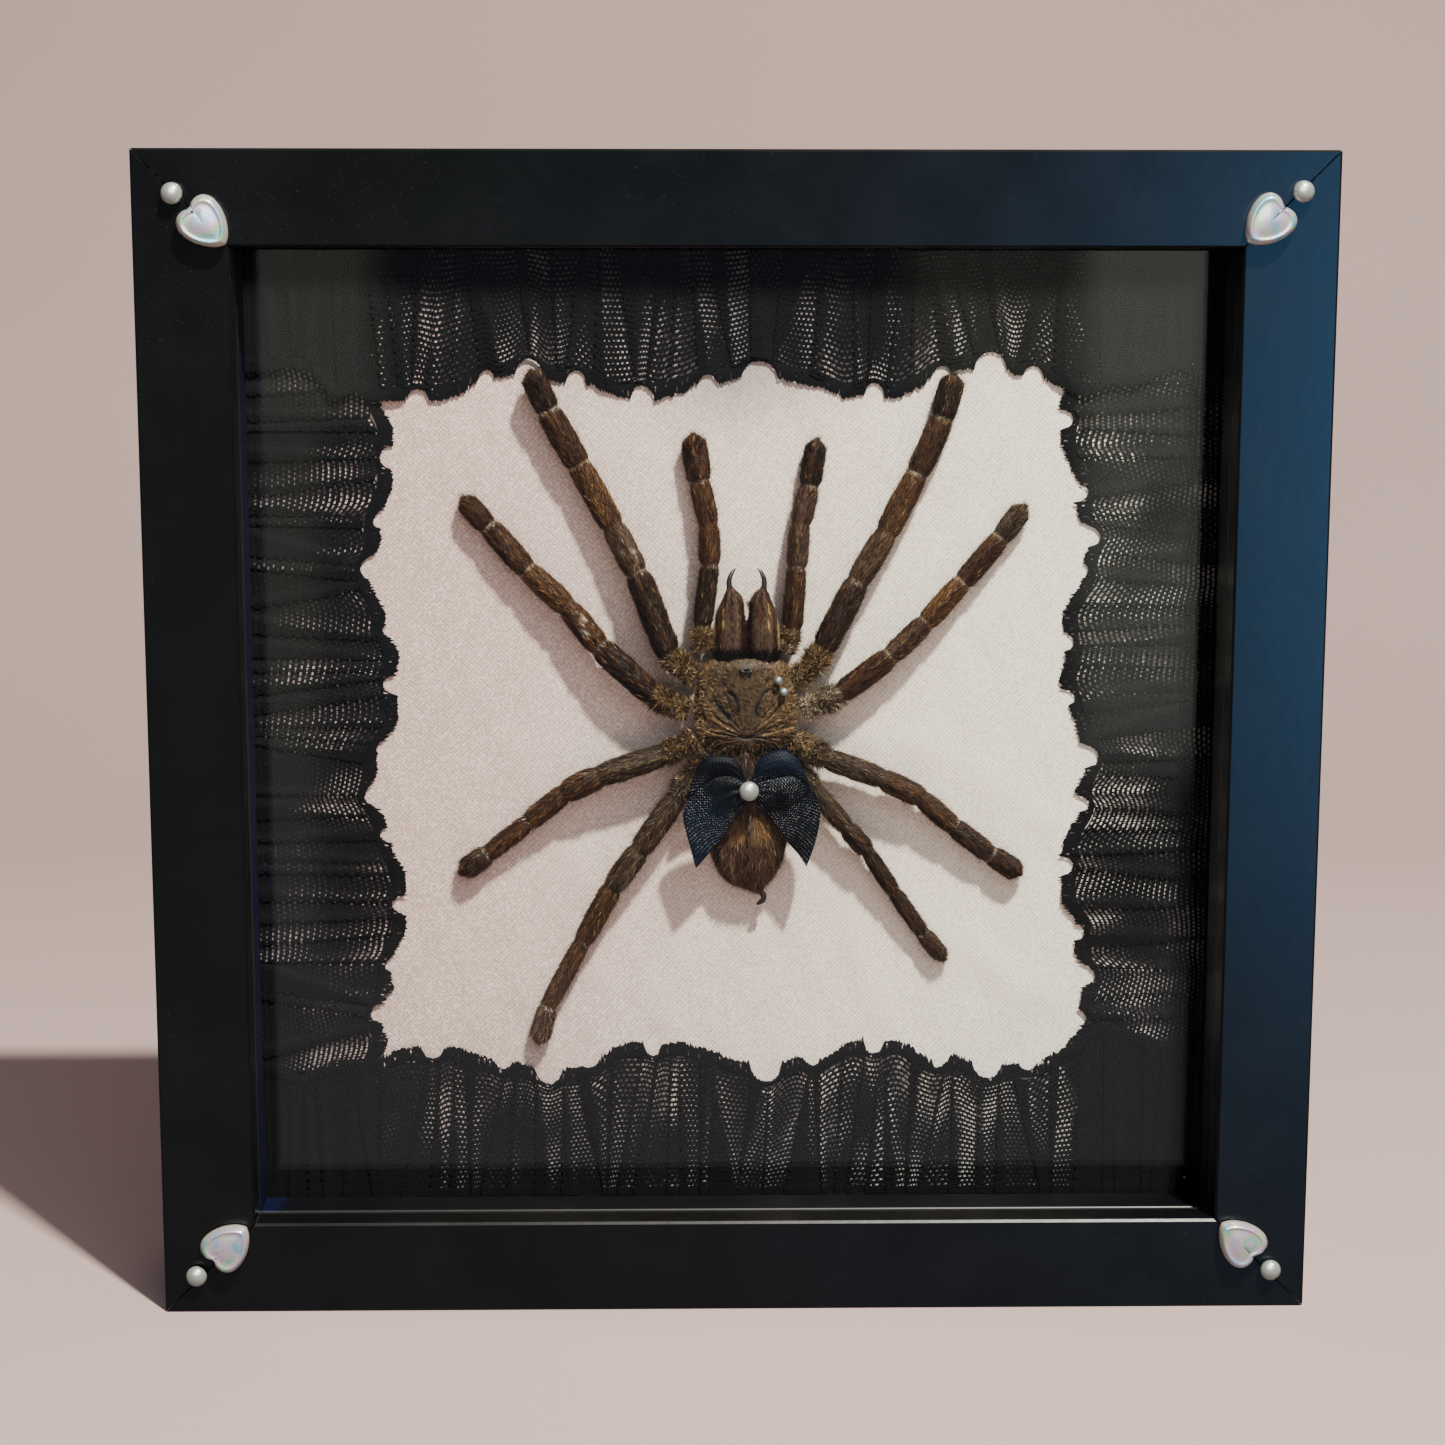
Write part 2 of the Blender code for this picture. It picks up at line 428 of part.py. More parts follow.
def build_body(material, dark, black):
    rings = [slice_ring(*cut, CARAPACE_SIDES) for cut in CARAPACE_SLICES]
    solid("carapace", loft(rings), material, smooth_angle=pi / 4)

    rings = [slice_ring(*cut, ABDOMEN_SIDES) for cut in ABDOMEN_SLICES]
    trail = [over_satin(x, z, height) for x, z, height, _ in SPINNERET]
    before = sum(rings[-1], Vector()) / ABDOMEN_SIDES
    for here, (place, girth) in enumerate(zip(trail, (row[3] for row in SPINNERET))):
        ahead = trail[min(here + 1, len(trail) - 1)]
        along = (ahead - before).normalized()
        ring = ring_at(place, along, girth, ABDOMEN_SIDES)
        rings.append(matched(ring, rings[-1]))
        before = place
    solid("abdomen", loft(rings), dark, smooth_angle=pi / 4)

    for side, middle in CHELICERA_MIDDLES.items():
        mirror = 1 if side == "left" else -1
        cuts = []
        for z, left, right, under, rim, top in CHELICERA_SLICES:
            edges = sorted((middle + left * mirror, middle + right * mirror))
            cuts.append(slice_ring(z, *edges, under, rim, top, CHELICERA_SIDES))
        solid(f"chelicera_{side}", loft(cuts), dark, smooth_angle=pi / 4)
        curve = [over_satin(middle + x * mirror, z, FANG_HEIGHT) for x, z, _ in FANG_CURVE]
        rings = []
        for here, place in enumerate(curve):
            along = curve[min(here + 1, len(curve) - 1)] - curve[max(here - 1, 0)]
            rings.append(ring_at(place, along.normalized(), FANG_CURVE[here][2], FANG_SIDES))
        solid(f"fang_{side}", loft(rings), black, smooth_angle=pi / 3)


def matched(ring, before):
    """The ring turned, and run the same way round, so that it meets the one before it without a twist."""
    count = len(ring)
    middle = sum(ring, Vector()) / count
    before_middle = sum(before, Vector()) / count
    best = None
    for run in (ring, ring[::-1]):
        for shift in range(count):
            turned = run[shift:] + run[:shift]
            off = sum(((a - middle) - (b - before_middle)).length for a, b in zip(turned, before))
            if best is None or off < best[0]:
                best = (off, turned)
    return best[1]


# ---------------------------------------------------------------- bow, pearls and hearts
def puff(outline, heights, shrink):
    """A cushion-like solid: its outline at the middle height, drawn in above and below."""
    low, middle, high = heights
    cx = sum(x for x, _ in outline) / len(outline)
    cz = sum(z for _, z in outline) / len(outline)

    def ring(share, height):
        return [over_satin(cx + (x - cx) * share, cz + (z - cz) * share, height) for x, z in outline]
    shoulder = ring(shrink + PUFF_SHOULDER, high - PUFF_SHOULDER_DROP)
    return loft([ring(shrink, low), ring(1, middle), shoulder, ring(shrink / 2, high)])


def build_bow(material):
    """Two loops, two slant-cut tails and a knot, made one."""
    x, z, radius = KNOT
    turns = [tau * k / KNOT_SIDES for k in range(KNOT_SIDES)]
    knot = [(x + radius * cos(turn), z + radius * sin(turn)) for turn in turns]
    bow = solid("ribbon_bow", puff(knot, KNOT_HEIGHTS, KNOT_SHARE), material)
    parts = [solid(f"loop_{side}_form", puff(outline, LOOP_HEIGHTS, LOOP_SHARE), material)
             for side, outline in BOW_LOOPS.items()]
    parts += [solid(f"tail_{side}_form", extruded(outline, *TAIL_HEIGHTS, lift=over_satin), material)
              for side, outline in BOW_TAILS.items()]
    for part in parts:
        part.hide_render = True
        part.display_type = "WIRE"
        join = bow.modifiers.new(part.name, "BOOLEAN")
        join.operation = "UNION"
        join.solver = "EXACT"
        join.object = part


def dome(centre, radius, rise, sides, steps):
    """A half pearl: a flat back, and a face that bulges toward the viewer, as rings from the back."""
    rings = []
    for step in range(steps):
        angle = pi / 2 * step / steps
        x, z = centre.x, centre.z
        ring = [Vector((x + radius * cos(angle) * cos(tau * k / sides) * MM,
                        centre.y - rise * sin(angle) * MM,
                        z + radius * cos(angle) * sin(tau * k / sides) * MM)) for k in range(sides)]
        rings.append(ring)
    return loft(rings)


def build_hearts(material):
    """Plump hearts with a bevelled wall and a flatter top, each pointing at its corner of the window."""
    mirrored = [(-x, z) for x, z in HEART_HALF[-2:0:-1]]
    outline = [Vector(place) for place in HEART_HALF + mirrored]
    for corner, (across, up) in HEART_INSETS.items():
        way_x, way_z = CORNER_SIGNS[corner]
        cx = way_x * (HALF - across)
        cz = HALF + way_z * (HALF - up)
        spin = Matrix.Rotation(-way_x * (pi / 4 if way_z > 0 else 3 * pi / 4), 2)
        rings = []
        for share, rise in HEART_LAYERS:
            turned = [spin @ place * share for place in outline]
            rings.append([point(cx + place.x, cz + place.y, -GAP - rise) for place in turned])
        solid(f"heart_{corner}", loft(rings), material, smooth_angle=pi / 4)


def build_pearls(material):
    for corner, (across, up) in PEARL_INSETS.items():
        way_x, way_z = CORNER_SIGNS[corner]
        back = point(way_x * (HALF - across), HALF + way_z * (HALF - up), -GAP)
        bead = dome(back, PEARL_DIAMETER / 2, PEARL_RISE, PEARL_SIDES, PEARL_STEPS)
        solid(f"corner_pearl_{corner}", bead, material, pi / 4)
    x, z, diameter, rise = BOW_PEARL
    back = over_satin(x, z, KNOT_HEIGHTS[2] + GAP)
    solid("bow_pearl", dome(back, diameter / 2, rise, PEARL_SIDES, PEARL_STEPS), material, pi / 4)
    for name, (x, z, diameter, height) in CARAPACE_PEARLS.items():
        back = over_satin(x, z, height + GAP)
        bead = dome(back, diameter / 2, CARAPACE_PEARL_RISE, CARAPACE_PEARL_SIDES, CARAPACE_PEARL_STEPS)
        solid(f"carapace_pearl_{name}", bead, material, pi / 4)


def main():
    clear_scene()
    black = finish("black_foil", (0.012, 0.013, 0.015), 0.42)
    strip_black = finish("black_strip", (0.008, 0.009, 0.011), 0.35)
    clear = finish("clear_pane", (0.9, 0.93, 0.92), 0.03)
    board = finish("white_board", (0.8, 0.78, 0.75), 0.8)
    fibre = finish("brown_fibreboard", (0.16, 0.1, 0.06), 0.8)
    steel = finish("bright_steel", (0.55, 0.55, 0.56), 0.35, 1.0)
    satin = finish("pink_satin", (0.72, 0.56, 0.52), 0.4)
    net = finish("black_net", (0.01, 0.01, 0.012), 0.7)
    hair = finish("brown_hair", (0.13, 0.075, 0.04), 0.85)
    golden = finish("golden_hair", (0.24, 0.14, 0.05), 0.8)
    fang_black = finish("fang_black", (0.012, 0.01, 0.01), 0.2)
    ribbon = finish("black_ribbon", (0.012, 0.018, 0.028), 0.45)
    pearl = finish("pearl_white", (0.82, 0.8, 0.77), 0.18)

    build_frame(black, strip_black, clear, board, fibre)
    build_back_hardware(steel)
    slab("satin_cloth", CAVITY_INSET, SATIN_DEPTH, satin)
    for side in LACE_EDGES:
        build_lace(side, net)
    build_body(golden, hair, fang_black)
    for name in LIMBS:
        build_limb(name, hair)
    build_bow(ribbon)
    build_hearts(pearl)
    build_pearls(pearl)


main()
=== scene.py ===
"""Looks for the framed tarantula specimen: satin, gathered net lace, the dried spider with its hair,
the ribbon bow, pearls and hearts, and the black shadow box that holds them.

Lengths in the tables are millimetres: x to the right of the middle, z above the floor, depth behind the
front face of the frame, and height in front of the satin. Meshes are made in metres, and the camera, the
lights and the floor are given in metres.
"""

from math import cos, pi, radians, sin, tau

import bpy
import numpy as np
from mathutils import Matrix, Vector


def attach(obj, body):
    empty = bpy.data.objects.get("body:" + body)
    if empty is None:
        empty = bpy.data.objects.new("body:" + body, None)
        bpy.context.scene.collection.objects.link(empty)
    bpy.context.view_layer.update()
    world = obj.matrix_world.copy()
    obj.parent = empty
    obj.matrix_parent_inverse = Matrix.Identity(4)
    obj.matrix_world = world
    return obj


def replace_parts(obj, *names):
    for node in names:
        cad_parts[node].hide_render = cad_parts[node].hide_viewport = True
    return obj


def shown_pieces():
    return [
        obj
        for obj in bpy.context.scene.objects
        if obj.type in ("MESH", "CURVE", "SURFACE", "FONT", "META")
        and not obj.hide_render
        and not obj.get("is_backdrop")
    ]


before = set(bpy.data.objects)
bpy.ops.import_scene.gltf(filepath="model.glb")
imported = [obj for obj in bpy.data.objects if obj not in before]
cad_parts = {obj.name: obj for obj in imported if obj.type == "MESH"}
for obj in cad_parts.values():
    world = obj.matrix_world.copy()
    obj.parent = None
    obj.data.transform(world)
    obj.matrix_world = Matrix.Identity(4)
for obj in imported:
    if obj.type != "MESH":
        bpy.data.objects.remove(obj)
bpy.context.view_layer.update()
bpy.ops.object.select_all(action="DESELECT")

MM = 0.001
FRAME_SIDE = 250.0
HALF = FRAME_SIDE / 2
FRONT_Y = -20.65
SATIN_DEPTH = 37.5
GAP = 0.3
CAVITY_INSET = 10.4
BODY = "root"
GLASS_MIRROR = 0.02
DETAIL = 1.0


# ---------------------------------------------------------------- places and meshes
def placed(x, z, height):
    """Points in metres from x and z, and a height in front of the satin."""
    x, z, height = np.broadcast_arrays(x, z, height)
    return np.stack([x, SATIN_DEPTH + FRONT_Y - height, z], axis=-1) * MM


def place(x, z, height):
    return Vector((x * MM, (SATIN_DEPTH + FRONT_Y - height) * MM, z * MM))


def behind_face(x, z, depth):
    return Vector((x * MM, (FRONT_Y + depth) * MM, z * MM))


def mesh_piece(name, points, faces, finishes, slots=None, smooth=True):
    """A mesh object from arrays. Faces are a list of arrays, one for each number of corners."""
    faces = [np.asarray(group, dtype=np.int64) for group in faces if len(group)]
    corners = np.concatenate([group.ravel() for group in faces])
    sides = np.concatenate([np.full(len(group), group.shape[1]) for group in faces])
    mesh = bpy.data.meshes.new(name)
    mesh.vertices.add(len(points))
    mesh.vertices.foreach_set("co", np.asarray(points, dtype=np.float32).ravel())
    mesh.loops.add(len(corners))
    mesh.loops.foreach_set("vertex_index", corners.astype(np.int32))
    mesh.polygons.add(len(sides))
    mesh.polygons.foreach_set("loop_start", (np.cumsum(sides) - sides).astype(np.int32))
    mesh.polygons.foreach_set("use_smooth", np.full(len(sides), smooth))
    if slots is not None:
        mesh.polygons.foreach_set("material_index", np.asarray(slots, dtype=np.int32))
    mesh.update(calc_edges=True)
    mesh.validate()
    for finish in finishes:
        mesh.materials.append(finish)
    made = bpy.data.objects.new(name, mesh)
    bpy.context.collection.objects.link(made)
    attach(made, BODY)
    return made


def mark(piece, name, values):
    """Keep a value for each point of a piece, for its material to read."""
    layer = piece.data.attributes.new(name, "FLOAT", "POINT")
    layer.data.foreach_set("value", np.asarray(values, dtype=np.float32).ravel())


def mark_colour(piece, name, colours):
    layer = piece.data.attributes.new(name, "FLOAT_COLOR", "POINT")
    filled = np.ones((len(colours), 4), dtype=np.float32)
    filled[:, :3] = colours
    layer.data.foreach_set("color", filled.ravel())


def sheet_faces(rows, columns, closed=False):
    """Four-cornered faces of a grid of points, its last column joined to the first if closed."""
    across = columns if closed else columns - 1
    row, column = np.meshgrid(np.arange(rows - 1), np.arange(across), indexing="ij")
    after = (column + 1) % columns
    here = row * columns
    return np.stack([here + column, here + columns + column, here + columns + after, here + after],
                    axis=-1).reshape(-1, 4)


def smoothly(value, low, high):
    """0 below low, 1 above high and an even rise between."""
    share = np.clip((value - low) / (high - low), 0, 1)
    return share * share * (3 - 2 * share)


def waviness(u, v, seed, waves=6):
    """A gentle uneven surface between about -1 and 1, from a few crossing waves."""
    rng = np.random.default_rng(seed)
    total = 0
    for turn, rate, start in zip(rng.uniform(0, tau, waves), rng.uniform(0.6, 1.7, waves),
                                 rng.uniform(0, tau, waves)):
        total = total + np.sin((u * cos(turn) + v * sin(turn)) * rate + start)
    return total / waves ** 0.5


def distance_to_line(x, z, line):
    """How far points lie from a line of (x, z) points."""
    least = np.full(np.shape(x), 1e9)
    for (ax, az), (bx, bz) in zip(line, line[1:]):
        length2 = (bx - ax) ** 2 + (bz - az) ** 2
        share = np.clip(((x - ax) * (bx - ax) + (z - az) * (bz - az)) / length2, 0, 1)
        least = np.minimum(least, np.hypot(x - ax - share * (bx - ax), z - az - share * (bz - az)))
    return least


def resampled(points, count):
    """A line of points, evenly spaced along itself."""
    points = np.asarray(points, dtype=float)
    along = np.concatenate([[0], np.cumsum(np.linalg.norm(np.diff(points, axis=0), axis=1))])
    stops = np.linspace(0, along[-1], count)
    return np.stack([np.interp(stops, along, column) for column in points.T], axis=-1)


def eased(values, spread):
    """Values smoothed along their first axis, its ends held."""
    if spread < 0.3:
        return values
    reach = max(1, int(spread * 3))
    weights = np.exp(-0.5 * (np.arange(-reach, reach + 1) / spread) ** 2)
    weights /= weights.sum()
    values = np.asarray(values, dtype=float)
    flat = values.reshape(len(values), -1)
    before = 2 * flat[0] - flat[reach:0:-1] if len(flat) > reach else np.repeat(flat[:1], reach, 0)
    after = 2 * flat[-1] - flat[-2:-reach - 2:-1] if len(flat) > reach else np.repeat(flat[-1:], reach, 0)
    padded = np.concatenate([before, flat, after])
    columns = [np.convolve(column, weights, "valid") for column in padded.T]
    return np.stack(columns, axis=-1).reshape(values.shape)


# ---------------------------------------------------------------- materials
def paint(red, green, blue):
    """A colour from the 0 to 255 values that a screen shows."""
    def light(value):
        value /= 255
        return value / 12.92 if value < 0.04045 else ((value + 0.055) / 1.055) ** 2.4
    return light(red), light(green), light(blue), 1.0


def operator(operation, swapped=False):
    """A sum of a wire with another or a number, as one Math node."""
    def lay_down(wire, other):
        first, second = (other, wire) if swapped else (wire, other)
        return wire.finish.node("Math", {"operation": operation}, {"Value": first, "Value_001": second})
    return lay_down


class Wire:
    """A node's output. Sums on it lay down Math nodes."""
    __add__ = __radd__ = operator("ADD")
    __sub__ = operator("SUBTRACT")
    __rsub__ = operator("SUBTRACT", swapped=True)
    __mul__ = operator("MULTIPLY")
    __truediv__ = operator("DIVIDE")
    __pow__ = operator("POWER")
    most = operator("MAXIMUM")

    def __init__(self, finish, socket):
        self.finish = finish
        self.socket = socket

    def size(self):
        return self.finish.node("Math", {"operation": "ABSOLUTE"}, {"Value": self})

    def wave(self):
        return self.finish.node("Math", {"operation": "SINE"}, {"Value": self})

    def step(self, low, high):
        """0 below low, 1 above high and an even rise between. With low above high it falls."""
        return self.finish.node("MapRange", {"interpolation_type": "SMOOTHSTEP"},
                                {"Value": self, "From Min": low, "From Max": high})


class Finish:
    """A material and the few ways in which its nodes are laid down."""

    def __init__(self, name, **sockets):
        self.material = bpy.data.materials.new(name)
        self.material.use_nodes = True
        self.tree = self.material.node_tree
        self.shader = self.tree.nodes["Principled BSDF"]
        self.out = self.tree.nodes["Material Output"]
        self.set(**sockets)

    def set(self, **sockets):
        for name, value in sockets.items():
            self.join(self.shader.inputs[name.replace("_", " ")], value)

    def join(self, socket, value):
        if isinstance(value, Wire):
            self.tree.links.new(value.socket, socket)
        else:
            socket.default_value = value

    def node(self, kind, settings=None, values=None, out=0):
        """Lay down a node: its settings first, then the values and wires of its sockets."""
        made = self.tree.nodes.new("ShaderNode" + kind)
        for name, setting in (settings or {}).items():
            if name == "stops":
                ramp = made.color_ramp
                ramp.elements[0].position = setting[0][0]
                ramp.elements[1].position = setting[-1][0]
                for spot, _ in setting[1:-1]:
                    ramp.elements.new(spot)
                for stop, (_, colour) in zip(ramp.elements, setting):
                    stop.color = colour
            else:
                setattr(made, name, setting)
        sockets = {socket.identifier: socket for socket in made.inputs}
        for name, value in (values or {}).items():
            self.join(sockets[name] if name in sockets else made.inputs[name], value)
        return Wire(self, made.outputs[out])

    def here(self):
        return self.node("TexCoord", out=3)

    def axes(self, vector=None):
        """The x, y and z of a point on the piece, in metres."""
        split = self.node("SeparateXYZ", values={"Vector": vector or self.here()})
        outputs = split.socket.node.outputs
        return [Wire(self, outputs[axis]) for axis in range(3)]

    def noise(self, scale, detail=3.0, vector=None, rough=0.55, stretch=None):
        where = vector or self.here()
        if stretch:
            where = self.node("Mapping", values={"Vector": where, "Scale": stretch})
        return self.node("TexNoise", values={"Vector": where, "Scale": scale, "Detail": detail,
                                             "Roughness": rough})

    def mix(self, share, first, second, way="MIX"):
        """A colour between two, by a share from 0 to 1."""
        return self.node("Mix", {"data_type": "RGBA", "blend_type": way},
                         {"Factor_Float": share, "A_Color": first, "B_Color": second}, out=2)

    def ramp(self, value, stops):
        return self.node("ValToRGB", {"stops": stops}, {"Fac": value})

    def read(self, name, out=2):
        """A value (out 2) or a colour (out 0) kept on the piece's points."""
        return self.node("Attribute", {"attribute_name": name}, out=out)

    def relief(self, height, depth, strength=1.0, under=None):
        values = {"Height": height, "Distance": depth, "Strength": strength}
        if under:
            values["Normal"] = under
        return self.node("Bump", values=values)


def clouded(name, noise, tones, rough, relief, **sockets):
    """A plain finish. One noise, of a scale and detail, mixes its two tones, adds to its roughness (least
    and spread), and gives it a relief of a depth and strength."""
    finish = Finish(name, **sockets)
    cloud = finish.noise(*noise)
    low, high = tones
    finish.set(Base_Color=finish.mix(cloud, paint(*low), paint(*high)),
               Roughness=rough[0] + cloud * rough[1], Normal=finish.relief(cloud, *relief))
    return finish.material


# where the foil is worn to a pale line at each mitre, in millimetres in from the outside
SEAM_WEAR = {
    (-1, 1): [(0.3, 6.6), (10.1, 11.4), (18.6, 19.9)], (1, 1): [(3, 4.2), (5, 6.4), (18.7, 19.9)],
    (-1, -1): [(8.2, 9.8), (18.9, 20)], (1, -1): [(11.2, 12.6), (19, 20)]}


def paint_foil():
    """Black foil on the moulding: a faint grain, fine dust, and pale worn lines at the mitres."""
    foil = Finish("black_foil_finish", Specular_IOR_Level=0.35)
    x, y, z = foil.axes()
    up = z - HALF * MM
    along = foil.noise(60, 4)
    patchy = foil.noise(14, 2)
    dust = foil.noise(1900, 2, rough=0.8).step(0.66, 0.74) * patchy.step(0.45, 0.7)
    base = foil.mix(along.step(0.35, 0.7), paint(5, 6, 6), paint(9, 10, 11))
    base = foil.mix(dust * 0.25, base, paint(90, 92, 96))
    off_seam = (x.size() - up.size()).size()
    reach = x.size().most(up.size())
    torn = foil.noise(900, 3).step(0.38, 0.5)
    line = 0
    for (way_x, way_z), runs in SEAM_WEAR.items():
        corner = (x * way_x).step(0.05, 0.06) * (up * way_z).step(0.05, 0.06)
        for near, far in runs:
            spot, half = HALF - (near + far) / 2, (far - near) / 2
            run = (reach - spot * MM).size().step((half + 0.25) * MM, (half - 0.25) * MM)
            line = corner * run + line
    line = line * torn * off_seam.step(0.0003, 0.0001)
    base = foil.mix(line * 0.36, base, paint(140, 142, 140))
    rub = foil.noise(240, 4).step(0.62, 0.8)
    inside = y.step((FRONT_Y + 6.5) * MM, (FRONT_Y + 7.5) * MM) * reach.step(0.11, 0.108)
    foil.set(Base_Color=base, Roughness=0.25 + along * 0.1 + rub * 0.1 + line * 0.4 + inside * 0.5)
    grain = foil.noise(340, 3)
    foil.set(Normal=foil.relief(grain, 0.00025, 0.12, under=foil.relief(patchy, 0.002, 0.12)))
    return foil.material


def paint_strip():
    """The satin-black strips that line the frame inside. The left one is painted navy blue, a painted
    reflection of cool light.
    """
    strip = Finish("black_strip_finish", Specular_IOR_Level=0.35)
    x = strip.axes()[0]
    cloud = strip.noise(40, 3)
    base = strip.mix(cloud, paint(3, 4, 6), paint(5, 6, 9))
    # painted reflection: strips left of x -0.099 m are turned navy blue where cool light would be mirrored
    base = strip.mix(x.step(-0.099, -0.103) * 0.9, base, paint(6, 13, 38))
    strip.set(Base_Color=base, Roughness=0.3 + cloud * 0.15)
    strip.set(Normal=strip.relief(strip.noise(900, 2), 0.0001, 0.1))
    return strip.material


def paint_pane():
    """Clear glass that reflects a little more at a slant, with a few specks of dust on it."""
    pane = Finish("clear_pane_finish")
    pane.tree.nodes.remove(pane.shader)
    see = pane.node("BsdfTransparent", values={"Color": (0.985, 0.99, 0.988, 1)})
    shine = pane.node("BsdfAnisotropic", values={"Color": (1, 1, 1, 1), "Roughness": 0.03})
    speck_coat = pane.node("BsdfDiffuse", values={"Color": paint(214, 214, 208)})
    tilt = pane.node("LayerWeight", values={"Blend": 0.5}, out=1)
    gloss = GLASS_MIRROR + tilt ** 5 * (1 - GLASS_MIRROR)
    glass = pane.node("MixShader", values={"Fac": gloss, "Shader": see, "Shader_001": shine})
    near = pane.node("TexVoronoi", {"feature": "F1"}, {"Vector": pane.here(), "Scale": 62.0})
    speck = near.step(0.022, 0.012) * pane.noise(31, 0).step(0.66, 0.68)
    face = pane.node("MixShader", values={"Fac": speck * 0.75, "Shader": glass, "Shader_001": speck_coat})
    pane.join(pane.out.inputs["Surface"], face)
    return pane.material


def paint_satin():
    """Pale pink satin with a fine slanted weave. Painted light makes it darker and pinker on the left and
    brighter and creamier on the right, with painted shade low on the left, under the lace and below the top
    lip."""
    satin = Finish("pink_satin_finish", Specular_IOR_Level=0.5, Sheen_Weight=0.12, Sheen_Roughness=0.35,
                   Sheen_Tint=paint(255, 240, 226))
    x, _, z = satin.axes()
    cloud = satin.noise(17, 3)
    # painted light: the satin is darker and pinker on the left and brighter and creamier on the right,
    # where the key light falls
    painted_light_rightward = (x + (cloud - 0.5) * 0.05).step(-0.11, 0.11)
    tone = satin.mix(painted_light_rightward, paint(214, 184, 175), paint(255, 252, 234))
    # painted shade: the lower left of the satin is darkened
    painted_shade_low_left = (z - x * 0.6 + (cloud - 0.5) * 0.06).step(0.11, 0.03) * x.step(0.0, -0.06)
    tone = satin.mix(painted_shade_low_left * 0.35, tone, paint(190, 170, 168))
    slant = ((x + z * 1.12) * (tau / 0.00108) + satin.noise(420, 1) * 1.6).wave()
    cross = ((x * 1.1 - z) * (tau / 0.0014) + satin.noise(360, 1) * 1.6).wave()
    thread = (slant * 0.62 + cross * 0.38 + 1) * 0.5
    slub = satin.noise(1900, 2, rough=0.7)
    # the weave darkens less to the right, part of the painted light from the right
    tone = satin.mix(thread.step(0.2, 0.8) * (0.42 - painted_light_rightward * 0.2), tone, paint(156, 132, 118))
    tone = satin.mix(slub.step(0.5, 0.36) * 0.3, tone, paint(140, 122, 114))
    tone = satin.mix(slub.step(0.52, 0.66) * 0.5, tone, paint(255, 252, 246))
    # painted shade: the satin under the lace, near its edges, is darkened to a bluish grey
    edge = x.size().most((z - HALF * MM).size())
    tone = satin.mix(edge.step(0.076, 0.108) * 0.62, tone, paint(112, 114, 128))
    # painted shadow: the satin near the top, under the frame's top lip, is darkened
    tone = satin.mix((z - x.size() * 0.3).step(0.182, 0.206) * 0.6, tone, paint(84, 82, 92))
    satin.set(Base_Color=tone, Roughness=0.36 + thread * 0.14)
    satin.set(Normal=satin.relief(thread + slub * 0.6, 0.00008, 0.5))
    return satin.material


def paint_skin(name, gloss=0.45):
    """Dried skin under the hair: its tone comes with the points, its dark and light streaks from noise."""
    skin = Finish(name, Specular_IOR_Level=gloss)
    tone = skin.read("tone", out=0)
    fine = skin.noise(1500, 4, rough=0.65)
    cloud = skin.noise(320, 3)
    base = skin.mix(fine.step(0.4, 0.7) * 0.4, tone, paint(70, 56, 46), "MULTIPLY")
    base = skin.mix(cloud.step(0.55, 0.8) * 0.15, base, paint(140, 104, 64))
    skin.set(Base_Color=base, Roughness=0.5 + fine * 0.3)
    skin.set(Normal=skin.relief(fine, 0.00025, 0.7, under=skin.relief(cloud, 0.0006, 0.4)))
    return skin.material


def paint_black_horn(name, tones, rough):
    """Glossy black horn, for the fangs and eyes."""
    return clouded(name, (900, 3), tones, (rough, 0.15), (0.0001, 0.15), Specular_IOR_Level=0.6,
                   Coat_Weight=0.5, Coat_Roughness=0.08)


def paint_ribbon():
    """Black satin ribbon with a fine cross weave, with painted glints on top of the loops and a painted
    blue sheen in the left tail and the right loop."""
    ribbon = Finish("black_ribbon_finish", Specular_IOR_Level=0.1, Sheen_Weight=0.02, Sheen_Roughness=0.3,
                    Sheen_Tint=paint(90, 150, 215))
    across = ribbon.read("across")
    along = ribbon.read("along")
    x, _, z = ribbon.axes()
    ribs = (across * (tau / 0.76)).wave()
    warp = (along * (tau / 0.66) + ribs * 0.6).wave()
    dots = (ribs * warp + 1) * 0.5
    fleck = ribbon.noise(2000, 2, rough=0.7).step(0.46, 0.62)
    # lit is the zone of painted glints: pale weave dots and white flecks, kept off the upper right loop
    lit = ribbon.noise(110, 2).step(0.4, 0.55) * z.step(0.1155, 0.1135)
    base = ribbon.mix(dots.step(0.3, 0.95), paint(2, 3, 5), paint(6, 11, 19))
    # painted sheen: the left tail is turned navy blue where cool light falls on it
    painted_sheen_left_tail = x.step(0.001, -0.006) * z.step(0.1125, 0.105)
    base = ribbon.mix(painted_sheen_left_tail * 0.85, base, paint(7, 19, 36))
    # painted sheen: the right loop is turned navy blue
    painted_sheen_right_loop = z.step(0.1125, 0.1165) * x.step(0.0, 0.006)
    base = ribbon.mix(painted_sheen_right_loop * 0.8, base, paint(5, 13, 30))
    # painted highlight: pale dots and white flecks on the weave, in the glint zone
    base = ribbon.mix(dots.step(0.8, 0.98) * (lit * 0.3 + 0.02), base, paint(110, 122, 132))
    base = ribbon.mix(fleck * dots.step(0.72, 0.95) * (lit * 0.5 + 0.03), base, paint(204, 208, 210))
    ribbon.set(Base_Color=base, Roughness=0.34 + dots * 0.2)
    ribbon.set(Normal=ribbon.relief(dots + fleck * 0.4, 0.0001, 0.6))
    return ribbon.material


def paint_pearl(name, tones):
    """Pearl lacquer: soft white with faint clouds, under a clear coat."""
    return clouded(name, (420, 3), tones, (0.32, 0.1), (0.00015, 0.15), Specular_IOR_Level=0.3,
                   Coat_Weight=1, Coat_Roughness=0.05, Metallic=0.5)


